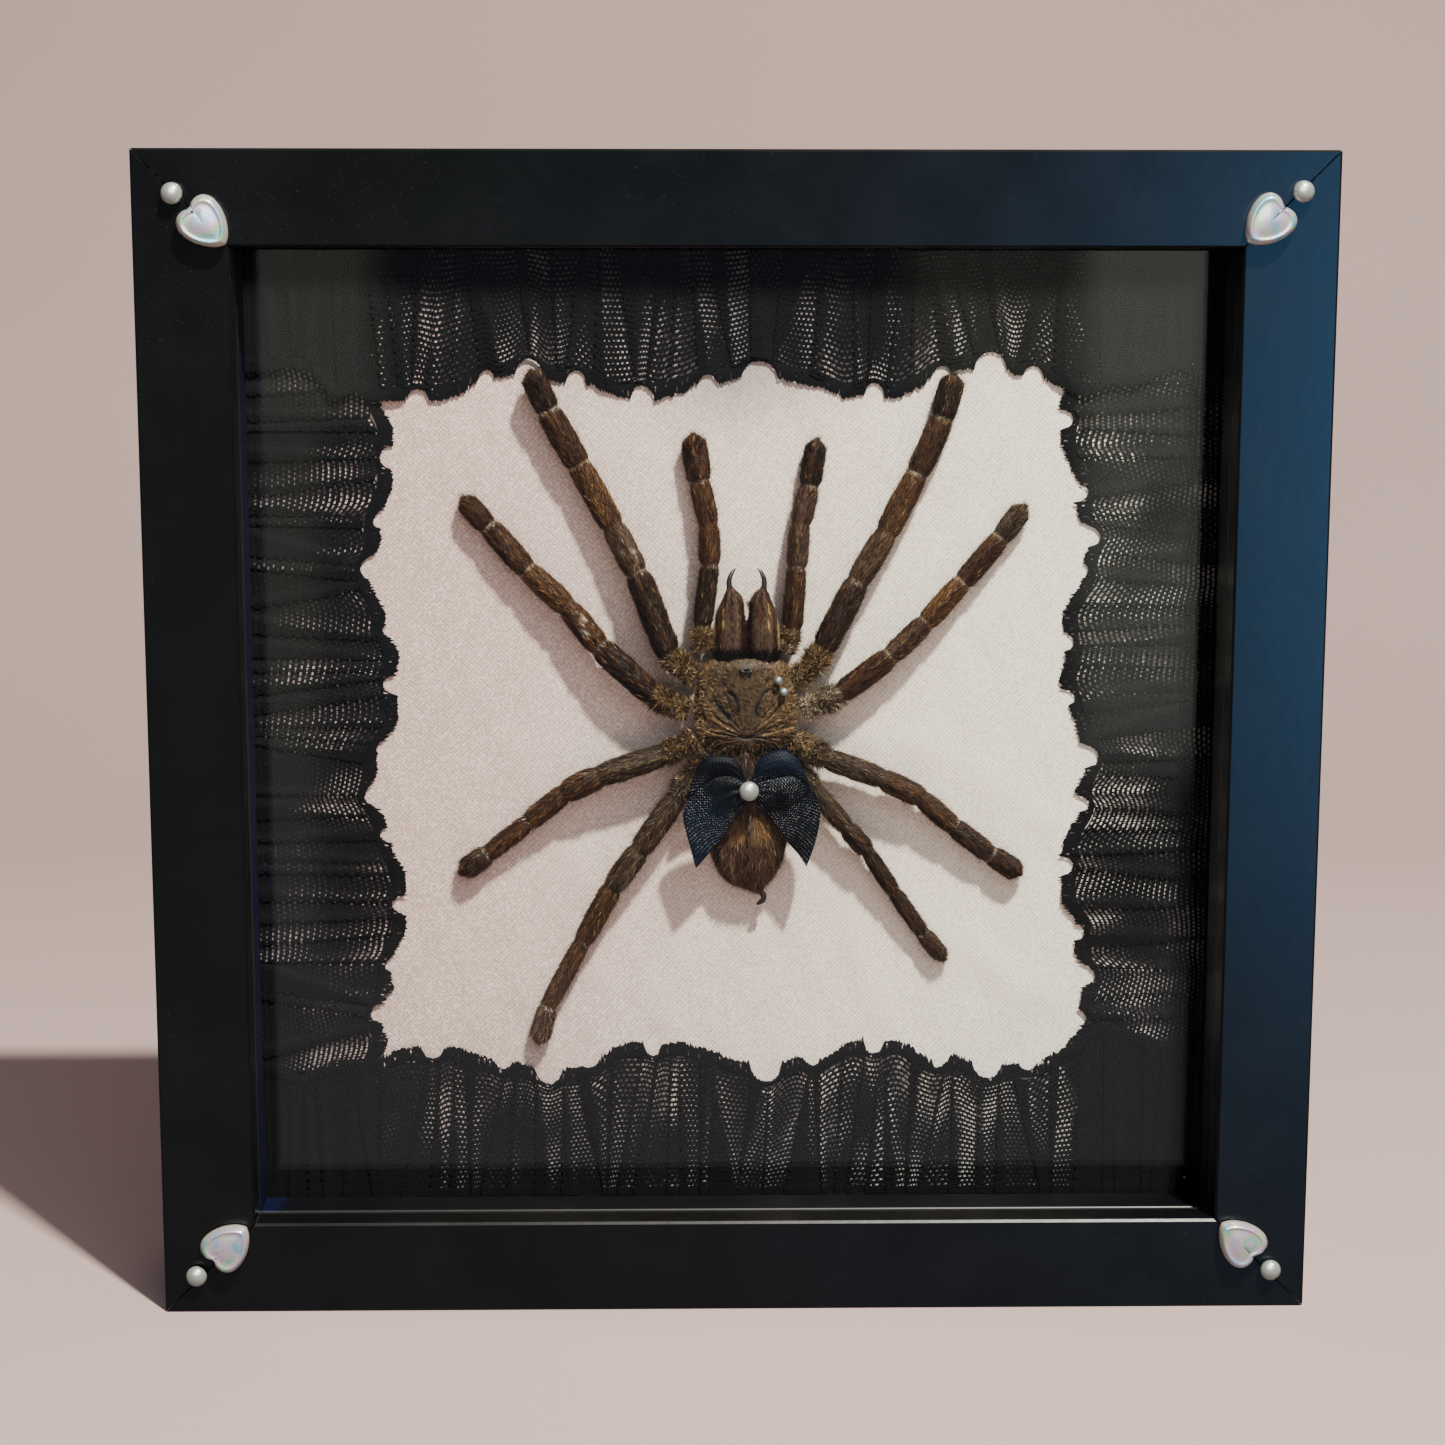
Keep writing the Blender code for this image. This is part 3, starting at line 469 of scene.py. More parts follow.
def paint_heart():
    """Iridescent plastic pearl: cream edges, and a flat top with painted iridescent sheen in patches of
    cyan, lilac, green and pink that stay put as the eye moves.
    """
    heart = Finish("heart_pearl_finish", Specular_IOR_Level=0.6, Coat_Weight=0.9, Coat_Roughness=0.05)
    rise = heart.read("rise")
    swirl = heart.noise(210, 2, rough=0.4)
    # painted iridescent sheen: fixed patches of colour stand in for the shifting shimmer
    painted_iridescence = heart.ramp(swirl, [(0.3, paint(96, 150, 168)), (0.42, paint(146, 160, 176)),
                               (0.5, paint(172, 150, 168)), (0.57, paint(150, 172, 138)),
                               (0.65, paint(110, 162, 172)), (0.8, paint(182, 156, 150))])
    edge = heart.mix(heart.noise(300, 2), paint(146, 142, 130), paint(172, 166, 154))
    base = heart.mix(rise.step(0.55, 0.8), edge, painted_iridescence)
    heart.set(Base_Color=base, Roughness=0.3 + swirl * 0.1)
    heart.set(Metallic=rise.step(0.5, 0.9) * 0.25)
    heart.set(Normal=heart.relief(heart.noise(260, 2), 0.0005, 0.2))
    return heart.material


def paint_fibreboard():
    """Brown hardboard with pressed fibres and faint stains."""
    fibreboard = Finish("brown_fibreboard_finish", Specular_IOR_Level=0.3)
    strand = fibreboard.noise(900, 5, rough=0.7, stretch=(1, 1, 0.35))
    stain = fibreboard.noise(22, 4)
    base = fibreboard.ramp(strand, [(0.3, paint(70, 44, 27)), (0.5, paint(104, 70, 44)),
                                    (0.72, paint(146, 106, 70))])
    base = fibreboard.mix(stain.step(0.4, 0.7) * 0.35, base, paint(82, 54, 36))
    fibreboard.set(Base_Color=base, Roughness=0.62 + strand * 0.3)
    fibreboard.set(Normal=fibreboard.relief(strand, 0.0003, 0.6))
    return fibreboard.material


def paint_steel():
    """Stamped bright steel with drawn streaks and dull spots."""
    steel = Finish("bright_steel_finish", Metallic=1.0)
    drawn = steel.noise(260, 4, stretch=(1, 1, 9))
    spots = steel.noise(700, 3).step(0.55, 0.75)
    base = steel.mix(drawn, paint(168, 168, 166), paint(206, 206, 204))
    steel.set(Base_Color=steel.mix(spots * 0.4, base, paint(120, 112, 100)),
              Roughness=0.24 + drawn * 0.2 + spots * 0.2, Normal=steel.relief(drawn, 0.0001, 0.25))
    return steel.material


def paint_floor():
    """A plain pale floor."""
    floor = Finish("pale_floor_finish", Specular_IOR_Level=0.2)
    cloud = floor.noise(3, 3)
    floor.set(Base_Color=floor.mix(cloud, paint(176, 152, 148), paint(186, 162, 156)), Roughness=0.8)
    return floor.material


# ---------------------------------------------------------------- camera, lights and floor
LENS, SENSOR = 68.5, 36.0
CAMERA_SPOT = (-0.0136, -0.59765, 0.221)
CAMERA_TURN = (81.0907, -0.0515, -1.0294)
ROOM_LIGHT = 0.15
KEY = ((0.38, -0.735, 1.4), (0.07, 0.07), 66, (1, 0.95, 0.86), True, True)
# each light: where it hangs, its size, power and colour, whether it shines, and whether it is mirrored
LIGHTS = {
    "key_light": KEY, "outer_key_light": KEY,
    "front_light": ((0.3, -1.15, 0.95), (0.7, 0.7), 5.3, (0.93, 0.94, 1), True, False),
    "cool_card": ((0.5, -1, 0.14), (0.26, 0.56), 4.4, (0.1, 0.45, 1), False, True),
    "window_card": ((-0.02, -1.2, 0.8), (0.9, 0.9), 32, (0.94, 0.98, 1), False, True)}
# the flags that hang just behind the lip: left and right, low and high, in millimetres
FLAGS = {"lip_flag_top": ((-130, 150), (265.2, 293)), "lip_flag_right": ((112.1, 132), (40, 300))}
FLAG_DEPTH = 8
FLOOR_BACK, FLOOR_RISE, FLOOR_BEND = 1.1, 2.0, 0.6


def set_up_camera():
    view = bpy.data.cameras.new("camera")
    view.lens = LENS
    view.sensor_width = SENSOR
    view.clip_start = 0.01
    camera = bpy.data.objects.new("camera", view)
    bpy.context.collection.objects.link(camera)
    camera.location = CAMERA_SPOT
    camera.rotation_euler = [radians(turn) for turn in CAMERA_TURN]
    bpy.context.scene.camera = camera


def soft_light(name, spot, size, power, colour, shines, mirrored):
    """A soft rectangular light that faces the middle of the frame."""
    lamp = bpy.data.lights.new(name, "AREA")
    lamp.shape = "RECTANGLE"
    lamp.size, lamp.size_y = size
    lamp.energy = power
    lamp.color = colour
    light = bpy.data.objects.new(name, lamp)
    bpy.context.collection.objects.link(light)
    light.location = spot
    way = Vector(spot) - Vector((0, 0, HALF * MM))
    light.rotation_euler = way.to_track_quat("Z", "Y").to_euler()
    light.visible_camera = False
    light.visible_glossy = mirrored
    light.visible_diffuse = shines
    return light


class RoomFinish(Finish):
    """The room round the object: a dim even light with a few pale places."""

    def __init__(self, room):
        self.tree = room.node_tree
        self.shader = self.tree.nodes["Background"]


# pale places in the room that the glass mirrors: where they lie to the side and up, their half widths and
# brightness
PALE_PLACES = [((-0.155, 0), (0.045, 0.04), 0.45), ((0.19, -0.06), (0.04, 0.1), 0.8),
    ((0.15, 0), (0.06, 0.03), 0.25), ((0, -0.34), (0.5, 0.1), 0.27),
    ((-0.165, -0.14), (0.035, 0.09), 0.3)]


def light_the_room():
    """A dim room with pale places that the glass mirrors, a high key light from the right in two parts, a
    softer front light, and two cards that are only mirrored."""
    world = bpy.data.worlds.new("room")
    bpy.context.scene.world = world
    world.use_nodes = True
    room = RoomFinish(world)
    way = room.node("TexCoord")
    glow = ROOM_LIGHT
    across, _, up = room.axes(way)
    for (side, rise), (wide, tall), power in PALE_PLACES:
        off = ((across - side) / wide).size().most(((up - rise) / tall).size())
        glow = off.step(1.25, 0.85) * power + glow
    tint = room.mix((glow - ROOM_LIGHT).step(0, 0.1), (0.81, 0.95, 1.17, 1), (0.98, 1.05, 0.9, 1))
    tint = room.mix(up.step(-0.12, -0.24), tint, (1.02, 0.96, 1.02, 1))
    room.set(Color=tint, Strength=glow)
    return [soft_light(name, *values) for name, values in LIGHTS.items()]


def hang_flag(name, x, z):
    """A thin card in the key light's way, just behind the lip, that nothing else sees."""
    (left, right), (low, high) = x, z
    corners = [(left, low), (right, low), (right, high), (left, high)]
    points = [behind_face(across, up, FLAG_DEPTH) for across, up in corners]
    mesh = bpy.data.meshes.new(name)
    mesh.from_pydata(points, [], [(0, 1, 2, 3)])
    flag = bpy.data.objects.new(name, mesh)
    bpy.context.collection.objects.link(flag)
    flag.data.materials.append(bpy.data.materials["pale_floor_finish"])
    for ray in ("camera", "glossy", "diffuse", "transmission"):
        setattr(flag, f"visible_{ray}", False)
    flag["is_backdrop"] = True
    return flag


def gather(name, pieces):
    gathered = bpy.data.collections.new(name)
    for piece in pieces:
        gathered.objects.link(piece)
    return gathered


def guide_lights(key, outer_key, front, card, window):
    """The key light comes in over the lip of the frame, so what lies inside shades the satin, and two flags
    set how far down the lip's own shade falls on the lace. Its twin lights the moulding and the floor. The
    cool card is mirrored in the moulding, and the window card in the pearls, hearts, fangs and eyes."""
    whole = list(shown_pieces())
    floor = [bpy.data.objects["floor"]]
    rails = [piece for piece in whole if piece.name.startswith("rail_")]
    outside = [piece for piece in whole
               if piece.name.startswith(("rail_", "front_spacer_", "rear_spacer_", "glazing"))]
    inside = [piece for piece in whole if piece not in outside]
    shiny = [piece for piece in whole if piece.name.endswith(("_bead", "_moulded", "_horn", "eyes"))]
    solid = [piece for piece in whole if piece.name != "glazing"]
    flags = [hang_flag(name, x, z) for name, (x, z) in FLAGS.items()]
    plans = {"key": (key, inside + flags, inside), "outer_key": (outer_key, solid, outside + floor),
             "card": (card, rails, rails), "window": (window, shiny, shiny)}
    for name, (light, shaders, lit) in plans.items():
        light.light_linking.blocker_collection = gather(f"shaded_by_{name}", shaders)
        light.light_linking.receiver_collection = gather(f"lit_by_{name}", lit)
    front.light_linking.blocker_collection = gather("shaded_by_front", whole + floor)


def lay_floor():
    """A pale floor that curves up behind, made from a plane with its back edge drawn up."""
    bpy.ops.mesh.primitive_plane_add(size=2, location=(0, -0.5, 0))
    floor = bpy.context.object
    floor.name = "floor"
    floor.scale = (2.2, FLOOR_BACK + 0.5, 1)
    bpy.ops.object.transform_apply(location=True, rotation=False, scale=True)
    bpy.ops.object.mode_set(mode="EDIT")
    bpy.ops.mesh.select_all(action="DESELECT")
    bpy.ops.object.mode_set(mode="OBJECT")
    for edge in floor.data.edges:
        edge.select = all(floor.data.vertices[end].co.y > FLOOR_BACK - 0.1 for end in edge.vertices)
    bpy.ops.object.mode_set(mode="EDIT")
    bpy.ops.mesh.select_mode(type="EDGE")
    bpy.ops.mesh.extrude_region_move(TRANSFORM_OT_translate={"value": (0, 0, FLOOR_RISE)})
    bpy.ops.object.mode_set(mode="OBJECT")
    for edge in floor.data.edges:
        edge.select = all(abs(floor.data.vertices[end].co.y - FLOOR_BACK) < 0.01
                          and floor.data.vertices[end].co.z < 0.01 for end in edge.vertices)
    bpy.ops.object.mode_set(mode="EDIT")
    bpy.ops.mesh.bevel(offset=FLOOR_BEND, segments=16)
    bpy.ops.object.mode_set(mode="OBJECT")
    floor.data.shade_smooth()
    floor.data.materials.append(paint_floor())
    floor.visible_glossy = False
    floor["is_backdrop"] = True


# ---------------------------------------------------------------- satin
SATIN_STEPS = 170
SATIN_LOW = 0.12
# how far in from the edge the cloth starts to rise, and where it is wholly free
SATIN_FREE = (22, 46)
# each ripple: its size, its rate to the side and upwards, and where it starts
RIPPLES = [(0.34, 0.46, 0.16, 0.4), (0.22, 0.21, -0.34, 2.1), (0.2, 0.62, 0.35, 4),
    (0.14, 0.9, -0.2, 1.1)]
# soft folds in the cloth, with their rise and half width
FOLDS = [([(-46, 118), (-40, 98), (-32, 82), (-30, 66)], 0.8, 4.5),
    ([(-18, 96), (-14, 84), (-13, 70), (-16, 56)], 0.9, 3.6),
    ([(28, 92), (40, 80), (56, 70), (72, 60)], 0.9, 5),
    ([(18, 92), (26, 80), (30, 66), (33, 54)], 0.8, 4),
    ([(30, 122), (46, 118), (60, 110), (74, 100)], 0.6, 4.5),
    ([(40, 150), (56, 164), (70, 182)], 0.4, 6),
    ([(-30, 190), (-34, 170), (-44, 150), (-60, 132)], 0.45, 6)]


def lay_satin():
    """The satin: a sheet pulled over its board, with low ripples and a few soft folds."""
    reach = HALF - CAVITY_INSET
    line = np.linspace(-reach, reach, SATIN_STEPS)
    x, up = np.meshgrid(line, line, indexing="xy")
    z = up + HALF
    free = smoothly(reach - np.maximum(abs(x), abs(up)), *SATIN_FREE)
    ripples = sum(size * np.sin(x * along + z * rise + start) for size, along, rise, start in RIPPLES)
    height = 0.3 + ripples * 0.35
    for fold, rise, width in FOLDS:
        height = height + rise * np.exp(-(distance_to_line(x, z, fold) / width) ** 2)
    height = SATIN_LOW + np.maximum(height, 0) * free * 0.42
    points = placed(x, z, height).reshape(-1, 3)
    faces = sheet_faces(SATIN_STEPS, SATIN_STEPS)[:, ::-1]
    satin = mesh_piece("pink_satin", points, [faces], [paint_satin()])
    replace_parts(satin, "satin_cloth")


# ---------------------------------------------------------------- lace
LACE_INSET = 13.9
LACE_END = HALF - LACE_INSET
LACE_LOW = 0.55
LACE_UPPER_LAYER = 1.2
CORNER_REACH, CORNER_FADE = 78.0, 8.0
# where the holes close up towards a corner
CORNER_CLOSED = (78, 84)
ROW_PITCH = 1.13
HOLE_PITCH = 1.02
HOLE_HALF = (0.29, 0.17)
SELVEDGE = 1.6
BAND = 2.6
LAYER = 0.2
LACE_SEEDS = {"top": 11, "bottom": 23, "left": 37, "right": 41}
LACE_TURNS = {"top": 1, "bottom": -1, "left": -1, "right": 1}
# inner edge of each strip as (along, across), and its half-round bites as (along, half width, depth)
LACE_EDGES = {
    "top": (
        [(-104, 203.5), (-98, 204.5), (-93, 203), (-89, 197.5), (-84, 199), (-79, 197), (-65, 197),
         (-60, 198.5), (-56, 201.5), (-50, 202.5), (-45, 203), (-39, 201), (-33.5, 201.5), (-29, 199),
         (-24, 197.5), (-16.5, 197.5), (-11, 199), (-7.5, 201.5), (-3, 200.5), (2, 202.5), (10, 202),
         (20.5, 199.5), (24.5, 197.5), (29.5, 198.5), (36, 197.5), (40.5, 199.5), (44.5, 202.5),
         (51, 204), (59.5, 204), (62.5, 202.5), (68.5, 202.5), (72.5, 200), (78, 198), (84, 201),
         (89, 200.5), (98, 204), (105, 203)],
        [(-70, 2, 2.2), (-55, 1.5, 1.8), (-45.3, 2.7, 2.9), (-35, 1.8, 2), (-20.3, 2, 2.5),
         (-5.5, 1.6, 1.5), (5.8, 3.3, 3), (31.3, 1.8, 2.3), (46, 1.8, 1.6), (57, 3, 3.3),
         (66.5, 1.8, 1.9)]),
    "bottom": (
        [(-105, 46), (-99, 43), (-91, 47), (-83, 46.5), (-76, 49.5), (-64, 49.5), (-58, 47.5),
         (-53.5, 45), (-50, 46), (-46.5, 45), (-42.5, 44), (-35, 44.5), (-31, 46), (-27, 49.5),
         (-22.5, 50.5), (-18, 49.5), (-12, 50.5), (-4, 48), (0, 46), (11, 45), (15, 47), (19, 45.5),
         (23.5, 48), (27, 50.5), (38.5, 50.5), (42, 48.5), (46.5, 45), (51, 47.5), (54.5, 45.5),
         (60, 44.5), (66.5, 45), (70, 44.5), (73, 47), (77.5, 49), (81, 53), (86, 55.5), (92, 53),
         (99, 50.5), (106, 53)],
        [(-69, 2.1, 2.3), (-52.5, 1.4, 0.9), (-42.5, 2.6, 3), (-32.5, 1.4, 0.7), (-18.5, 1.6, 2.1),
         (7.5, 3, 3.8), (18, 1.4, 0.9), (32.5, 1.9, 2.6), (48, 1.6, 1.2), (58.5, 2.6, 2.8),
         (68, 1.4, 1.2)]),
    "left": (
        [(226, -78.5), (219, -77.5), (212, -79), (207, -80.5), (202, -78.5), (197, -78.5), (191, -75.5),
         (177.5, -76), (170.5, -79.5), (166, -78.5), (160, -81.5), (156, -81), (150, -78), (145.5, -78),
         (141, -75), (134.5, -76), (125, -75.5), (121, -78.5), (117.5, -80.5), (113.5, -80.5),
         (107, -82.5), (103.5, -79), (99, -78), (94.5, -77), (90, -74.5), (77, -74.5), (72.5, -77),
         (68, -78.5), (63, -77.5), (60, -81), (56.5, -81.5), (51, -79), (46, -81.5), (41, -83),
         (35, -81.5), (30, -83), (24, -81.5)],
        [(184.5, 2.1, 2.5), (170.5, 1.4, 0.9), (160, 2.3, 1.8), (145.5, 1.1, 0.7), (133.5, 1.8, 2.5),
         (119.5, 1.1, 0.9), (108.5, 2.1, 1.1), (99, 1.4, 1.8), (83, 1.8, 2.7), (69, 1.4, 1.1),
         (57.5, 1.8, 1.4)]),
    "right": (
        [(226, 77), (219, 76), (212, 78), (207, 76.5), (202, 74.5), (197, 72.5), (187, 73),
         (181.5, 75.5), (177.5, 77.5), (174, 76.5), (170.5, 77.5), (167, 79.5), (160.5, 78.5),
         (156, 78), (152.5, 75.5), (148.5, 74), (139, 75), (134.5, 73.5), (131, 75), (127, 76.5),
         (121, 78.5), (113.5, 80), (109, 77.5), (103.5, 79), (100, 76.5), (96.5, 75), (83, 75),
         (79, 78.5), (74.5, 79), (71.5, 78), (68.5, 80), (65, 81), (58, 79.5), (54, 80.5), (50.5, 77.5),
         (47.5, 75.5), (42, 77.5), (36, 80.5), (29, 78.5), (22, 80.5)],
        [(193, 1.8, 2.5), (176.5, 1.6, 1.8), (167, 2.1, 2.5), (159, 1.4, 1.1), (143, 1.6, 1.8),
         (130.5, 1.4, 1.8), (117, 2.3, 3), (106, 1.6, 2.3), (91.5, 1.8, 2.3), (76, 1.6, 1.4),
         (66, 2.1, 2.1), (56, 1.4, 1.1)])}


def lace_edge(side, along):
    """How far a strip reaches in from its outer edge at each place along it, and how deep its bites are."""
    points, bites = LACE_EDGES[side]
    centre = 0 if side in ("top", "bottom") else HALF
    outer = LACE_END * LACE_TURNS[side] + (HALF if side in ("top", "bottom") else 0)
    points = np.array(sorted(points))
    reach = abs(outer - np.interp(along + centre, points[:, 0], points[:, 1]))
    bite = np.zeros_like(along)
    for middle, half, depth in bites:
        off = np.clip(abs((along + centre - middle) / half / 1.2), 0, 1)
        bite = np.maximum(bite, 1.15 * depth * np.sqrt(1 - off * off))
    return reach, bite


def lace_corner(side, along):
    """How near a place along a strip is to a corner, where it lies flat, and how high it lies there."""
    corner = 1 - np.clip((CORNER_REACH - abs(along)) / CORNER_FADE, 0, 1)
    return corner, corner * (LACE_UPPER_LAYER if side in ("top", "bottom") else 0.0)


def lace_points(side, along, reach, height):
    """Points of a strip in metres, from places along it, millimetres in from its outer edge and heights."""
    across = (LACE_END - reach) * LACE_TURNS[side]
    if side in ("top", "bottom"):
        return placed(along, HALF + across, height)
    return placed(across, HALF + along, height)


# knife pleats: where each lies at the outer edge and how wide it overlaps there, then the same at the inner
# edge. Narrow ends let the net open in fans.
PLEATS = {
    "top": [(-76.5, 0.5, -74.2, 1.8), (-69, 2.8, -70.6, 1.6), (-64.8, 1.6, -67.2, 1.6),
        (-61.4, 0.6, -62, 1.4), (-58.8, 0.4, -55, 4.2), (-46.8, 3.8, -45.6, 1.2),
        (-40, 2.4, -39.4, 0.8), (-33.2, 3, -36.2, 1.2), (-29.6, 0.8, -29.8, 2.8),
        (-23.4, 5.6, -22.2, 0.6), (-15.6, 3.4, -18.4, 1.6), (-12.2, 0.4, -13.6, 1.6),
        (-9.4, 1, -7.6, 2.8), (-3.6, 4.6, -1.4, 0.5), (3.4, 0.5, 4.8, 3.2), (14.2, 7.6, 9.4, 0.8),
        (20, 2, 18.2, 2.8), (26.4, 1.4, 27, 2.2), (32.6, 5.6, 30.4, 1.8), (37.6, 0.8, 34.6, 1),
        (39.9, 0.6, 39.6, 1.6), (43.2, 0.6, 46.6, 3.6), (47.6, 2.4, 52.4, 1.6), (55.4, 4.2, 58, 0.8),
        (68.6, 1.6, 64.8, 3.6), (72.8, 1, 72.4, 3.6)],
    "bottom": [(-75.2, 2.6, -70.8, 1.8), (-68.6, 3, -67.6, 0.5), (-64.6, 2, -64.2, 0.4),
        (-60.6, 0.5, -60.4, 2.8), (-57.2, 2.4, -53.4, 2.2), (-51.6, 2.4, -50.4, 1.4),
        (-44.6, 3.4, -45.2, 0.6), (-38.6, 2.6, -38.8, 0.6), (-31, 0.4, -33.2, 3.4),
        (-28.8, 0.4, -27.8, 1.6), (-25.8, 1.6, -21.8, 2), (-21, 3.6, -18.4, 2), (-15, 0.8, -14.4, 1.6),
        (-11.4, 2.4, -12.2, 0.6), (-7.4, 1, -6.8, 2.6), (-3, 5.4, -4.4, 0.4), (2.2, 0.8, 4.8, 3),
        (7.2, 1, 8, 1.2), (15.4, 5.4, 17, 0.6), (20.4, 1, 19.6, 2.4), (24, 0.6, 25.2, 1.6),
        (27.4, 1.6, 29.6, 1), (31.8, 1.8, 33.4, 0.8), (36.4, 2.6, 35.4, 0.4), (40.6, 0.6, 41.8, 3),
        (44.2, 2.2, 48, 2.4), (51.2, 2.6, 50.8, 0.4), (57, 2, 56.8, 1), (62, 2.8, 61.6, 0.4),
        (70.4, 0.6, 67.4, 3.6), (74.2, 1.2, 74.4, 3)],
    "left": [(-77, 3.2, -72.4, 1.8), (-64.6, 1.6, -67.2, 1), (-60.2, 5.4, -64.4, 0.6),
        (-55.4, 2, -55.4, 2), (-50.8, 2, -49.6, 1.2), (-46.2, 1.8, -45.4, 1.4), (-40.6, 2.4, -41.2, 1),
        (-34.4, 2.6, -34.8, 2.4), (-31.6, 2.2, -32.2, 0.6), (-27.4, 1, -26.6, 2.4),
        (-21, 3.6, -21.4, 0.6), (-16.6, 1, -16.8, 0.6), (-5.6, 0.6, -7.4, 3.2), (-3, 1.6, -4.6, 1.2),
        (-0.8, 1.2, -0.6, 2.2), (3.2, 2.6, 5.4, 1.2), (7.6, 3, 9.2, 0.8), (11.6, 1.6, 11.8, 1.8),
        (15.6, 3.2, 14.4, 0.6), (21, 4.2, 19.4, 2.4), (26.8, 2.4, 29.6, 2), (34.4, 0.6, 33.4, 2.6),
        (39.2, 4.4, 36.2, 0.5), (44.4, 0.6, 44.6, 2.2), (47.6, 2.6, 46.6, 0.5), (52.2, 3, 54.2, 1.4),
        (59.4, 2.8, 59.2, 0.8), (65.4, 1, 65.8, 2.2), (68, 2, 68.2, 0.6), (73.6, 2.2, 74.6, 1.8)],
    "right": [(-76.4, 3, -76.8, 2.2), (-69.4, 1.8, -68.8, 2.6), (-63.2, 1.4, -64, 0.6),
        (-58.2, 1, -57.6, 0.6), (-50.6, 1.6, -51, 3.8), (-43.2, 1.2, -43, 2.4),
        (-36.4, 2.2, -34.6, 1.6), (-29.6, 2, -30.8, 0.8), (-25.4, 0.5, -25, 1.4),
        (-21.2, 2.4, -20.6, 2.2), (-12.8, 1.4, -12.4, 1.8), (-8.6, 1, -8.4, 2.8), (1.4, 6.4, -3.6, 0.6),
        (4.8, 1, 3.6, 2.8), (7.6, 2.2, 5.8, 0.6), (11.8, 1.6, 12.6, 1.8), (14.8, 0.8, 15.4, 0.8),
        (18.6, 3.4, 17.4, 1.6), (21.8, 1.2, 20.6, 0.8), (26, 0.8, 26.6, 1.8), (30.4, 1.6, 32.2, 1.8),
        (36.4, 2.2, 37.6, 0.4), (41.8, 1, 43.8, 0.8), (47.4, 1.6, 46.6, 0.6), (53.6, 2.6, 51.6, 2.6),
        (59.6, 1.6, 59.6, 1.2), (64.8, 2.2, 65.6, 1), (70.8, 2.2, 69.2, 2.6), (76.4, 2.2, 75.8, 2.2)]}
CORNER_PLEATS = [(80.6, 1.8), (85, 2.4), (89.4, 2.2), (94, 2.6), (98.6, 2.2), (103.2, 2.4)]
ROW_SAG = 0.55


def plan_pleats(side):
    """The ends of each overlap at the outer edge and at the inner edge. Pleats lie close in the corners."""
    rng = np.random.default_rng(LACE_SEEDS[side] + 5)
    corners = [(way * (spot + rng.uniform(-1.2, 1.2)), wide * rng.uniform(0.4, 1.2),
                way * (spot + rng.uniform(-2.4, 1.4)), wide * rng.uniform(0.4, 1.4))
               for way in (-1, 1) for spot, wide in CORNER_PLEATS]
    pleats = np.array(sorted(PLEATS[side] + corners))
    outer, outer_width, inner, inner_width = pleats.T
    narrow = np.minimum(outer_width, inner_width)
    slant = np.clip(inner - outer, -2.6, 2.6) * 0.35
    ends = []
    for middle, width in ((outer - slant, outer_width), (inner + slant, inner_width)):
        half = (narrow * 0.45 + (width - narrow) * 1.2) / 2
        ends += [middle - half, middle + half]
    return np.stack(ends, axis=-1)


def mean_ends(pleats):
    """The left and right end of each overlap, halfway between the two edges."""
    left = (pleats[:, 0] + pleats[:, 2]) / 2
    return left, np.maximum(left + 0.3, (pleats[:, 1] + pleats[:, 3]) / 2)


def fold_strip(pleats, share, u_steps):
    """Where each step along the cloth comes to lie at a share of the way in, and on which layer."""
    left = pleats[:, 0] + (pleats[:, 2] - pleats[:, 0]) * share
    right = pleats[:, 1] + (pleats[:, 3] - pleats[:, 1]) * share
    left = np.maximum.accumulate(np.maximum(left, -LACE_END))
    right = np.maximum(left + 0.12, np.minimum(right, LACE_END))
    knots_x, knots_u, total, before = [-LACE_END], [0.0], 0.0, -LACE_END
    for here_left, here_right, mid_left, mid_right in zip(left, right, *mean_ends(pleats)):
        total += max(0.8, mid_right - before)
        knots_x += [here_right, here_left]
        knots_u += [total, total + (mid_right - mid_left)]
        total = knots_u[-1]
        before = mid_left
    total += LACE_END - before
    knots_x.append(LACE_END)
    knots_u.append(total)
    u = u_steps * total
    x = np.interp(u, knots_u, knots_x)
    run = np.clip(np.searchsorted(knots_u, u, side="right") - 1, 0, len(knots_u) - 2)
    back = run % 2 == 1
    pleat = np.clip(run // 2 - 1, 0, len(pleats) - 1)
    past = np.where(run >= 2, x - right[pleat], 9.0)
    layer = np.where(back, 1.0, 2.0 * (1 - smoothly(past, 0.0, 2.2)))
    starts, stops = np.array(knots_u)[run], np.array(knots_u)[run + 1]
    wide = np.clip((stops - starts) / 6, 0.2, 1.3)
    sag = np.where(back, 0.0, wide * np.sin(pi * (u - starts) / (stops - starts + 1e-9)))
    return x, layer, sag, run // 2


def cloth_length(pleats):
    left, right = mean_ends(pleats)
    return 2 * LACE_END + 2 * (right - left).sum()


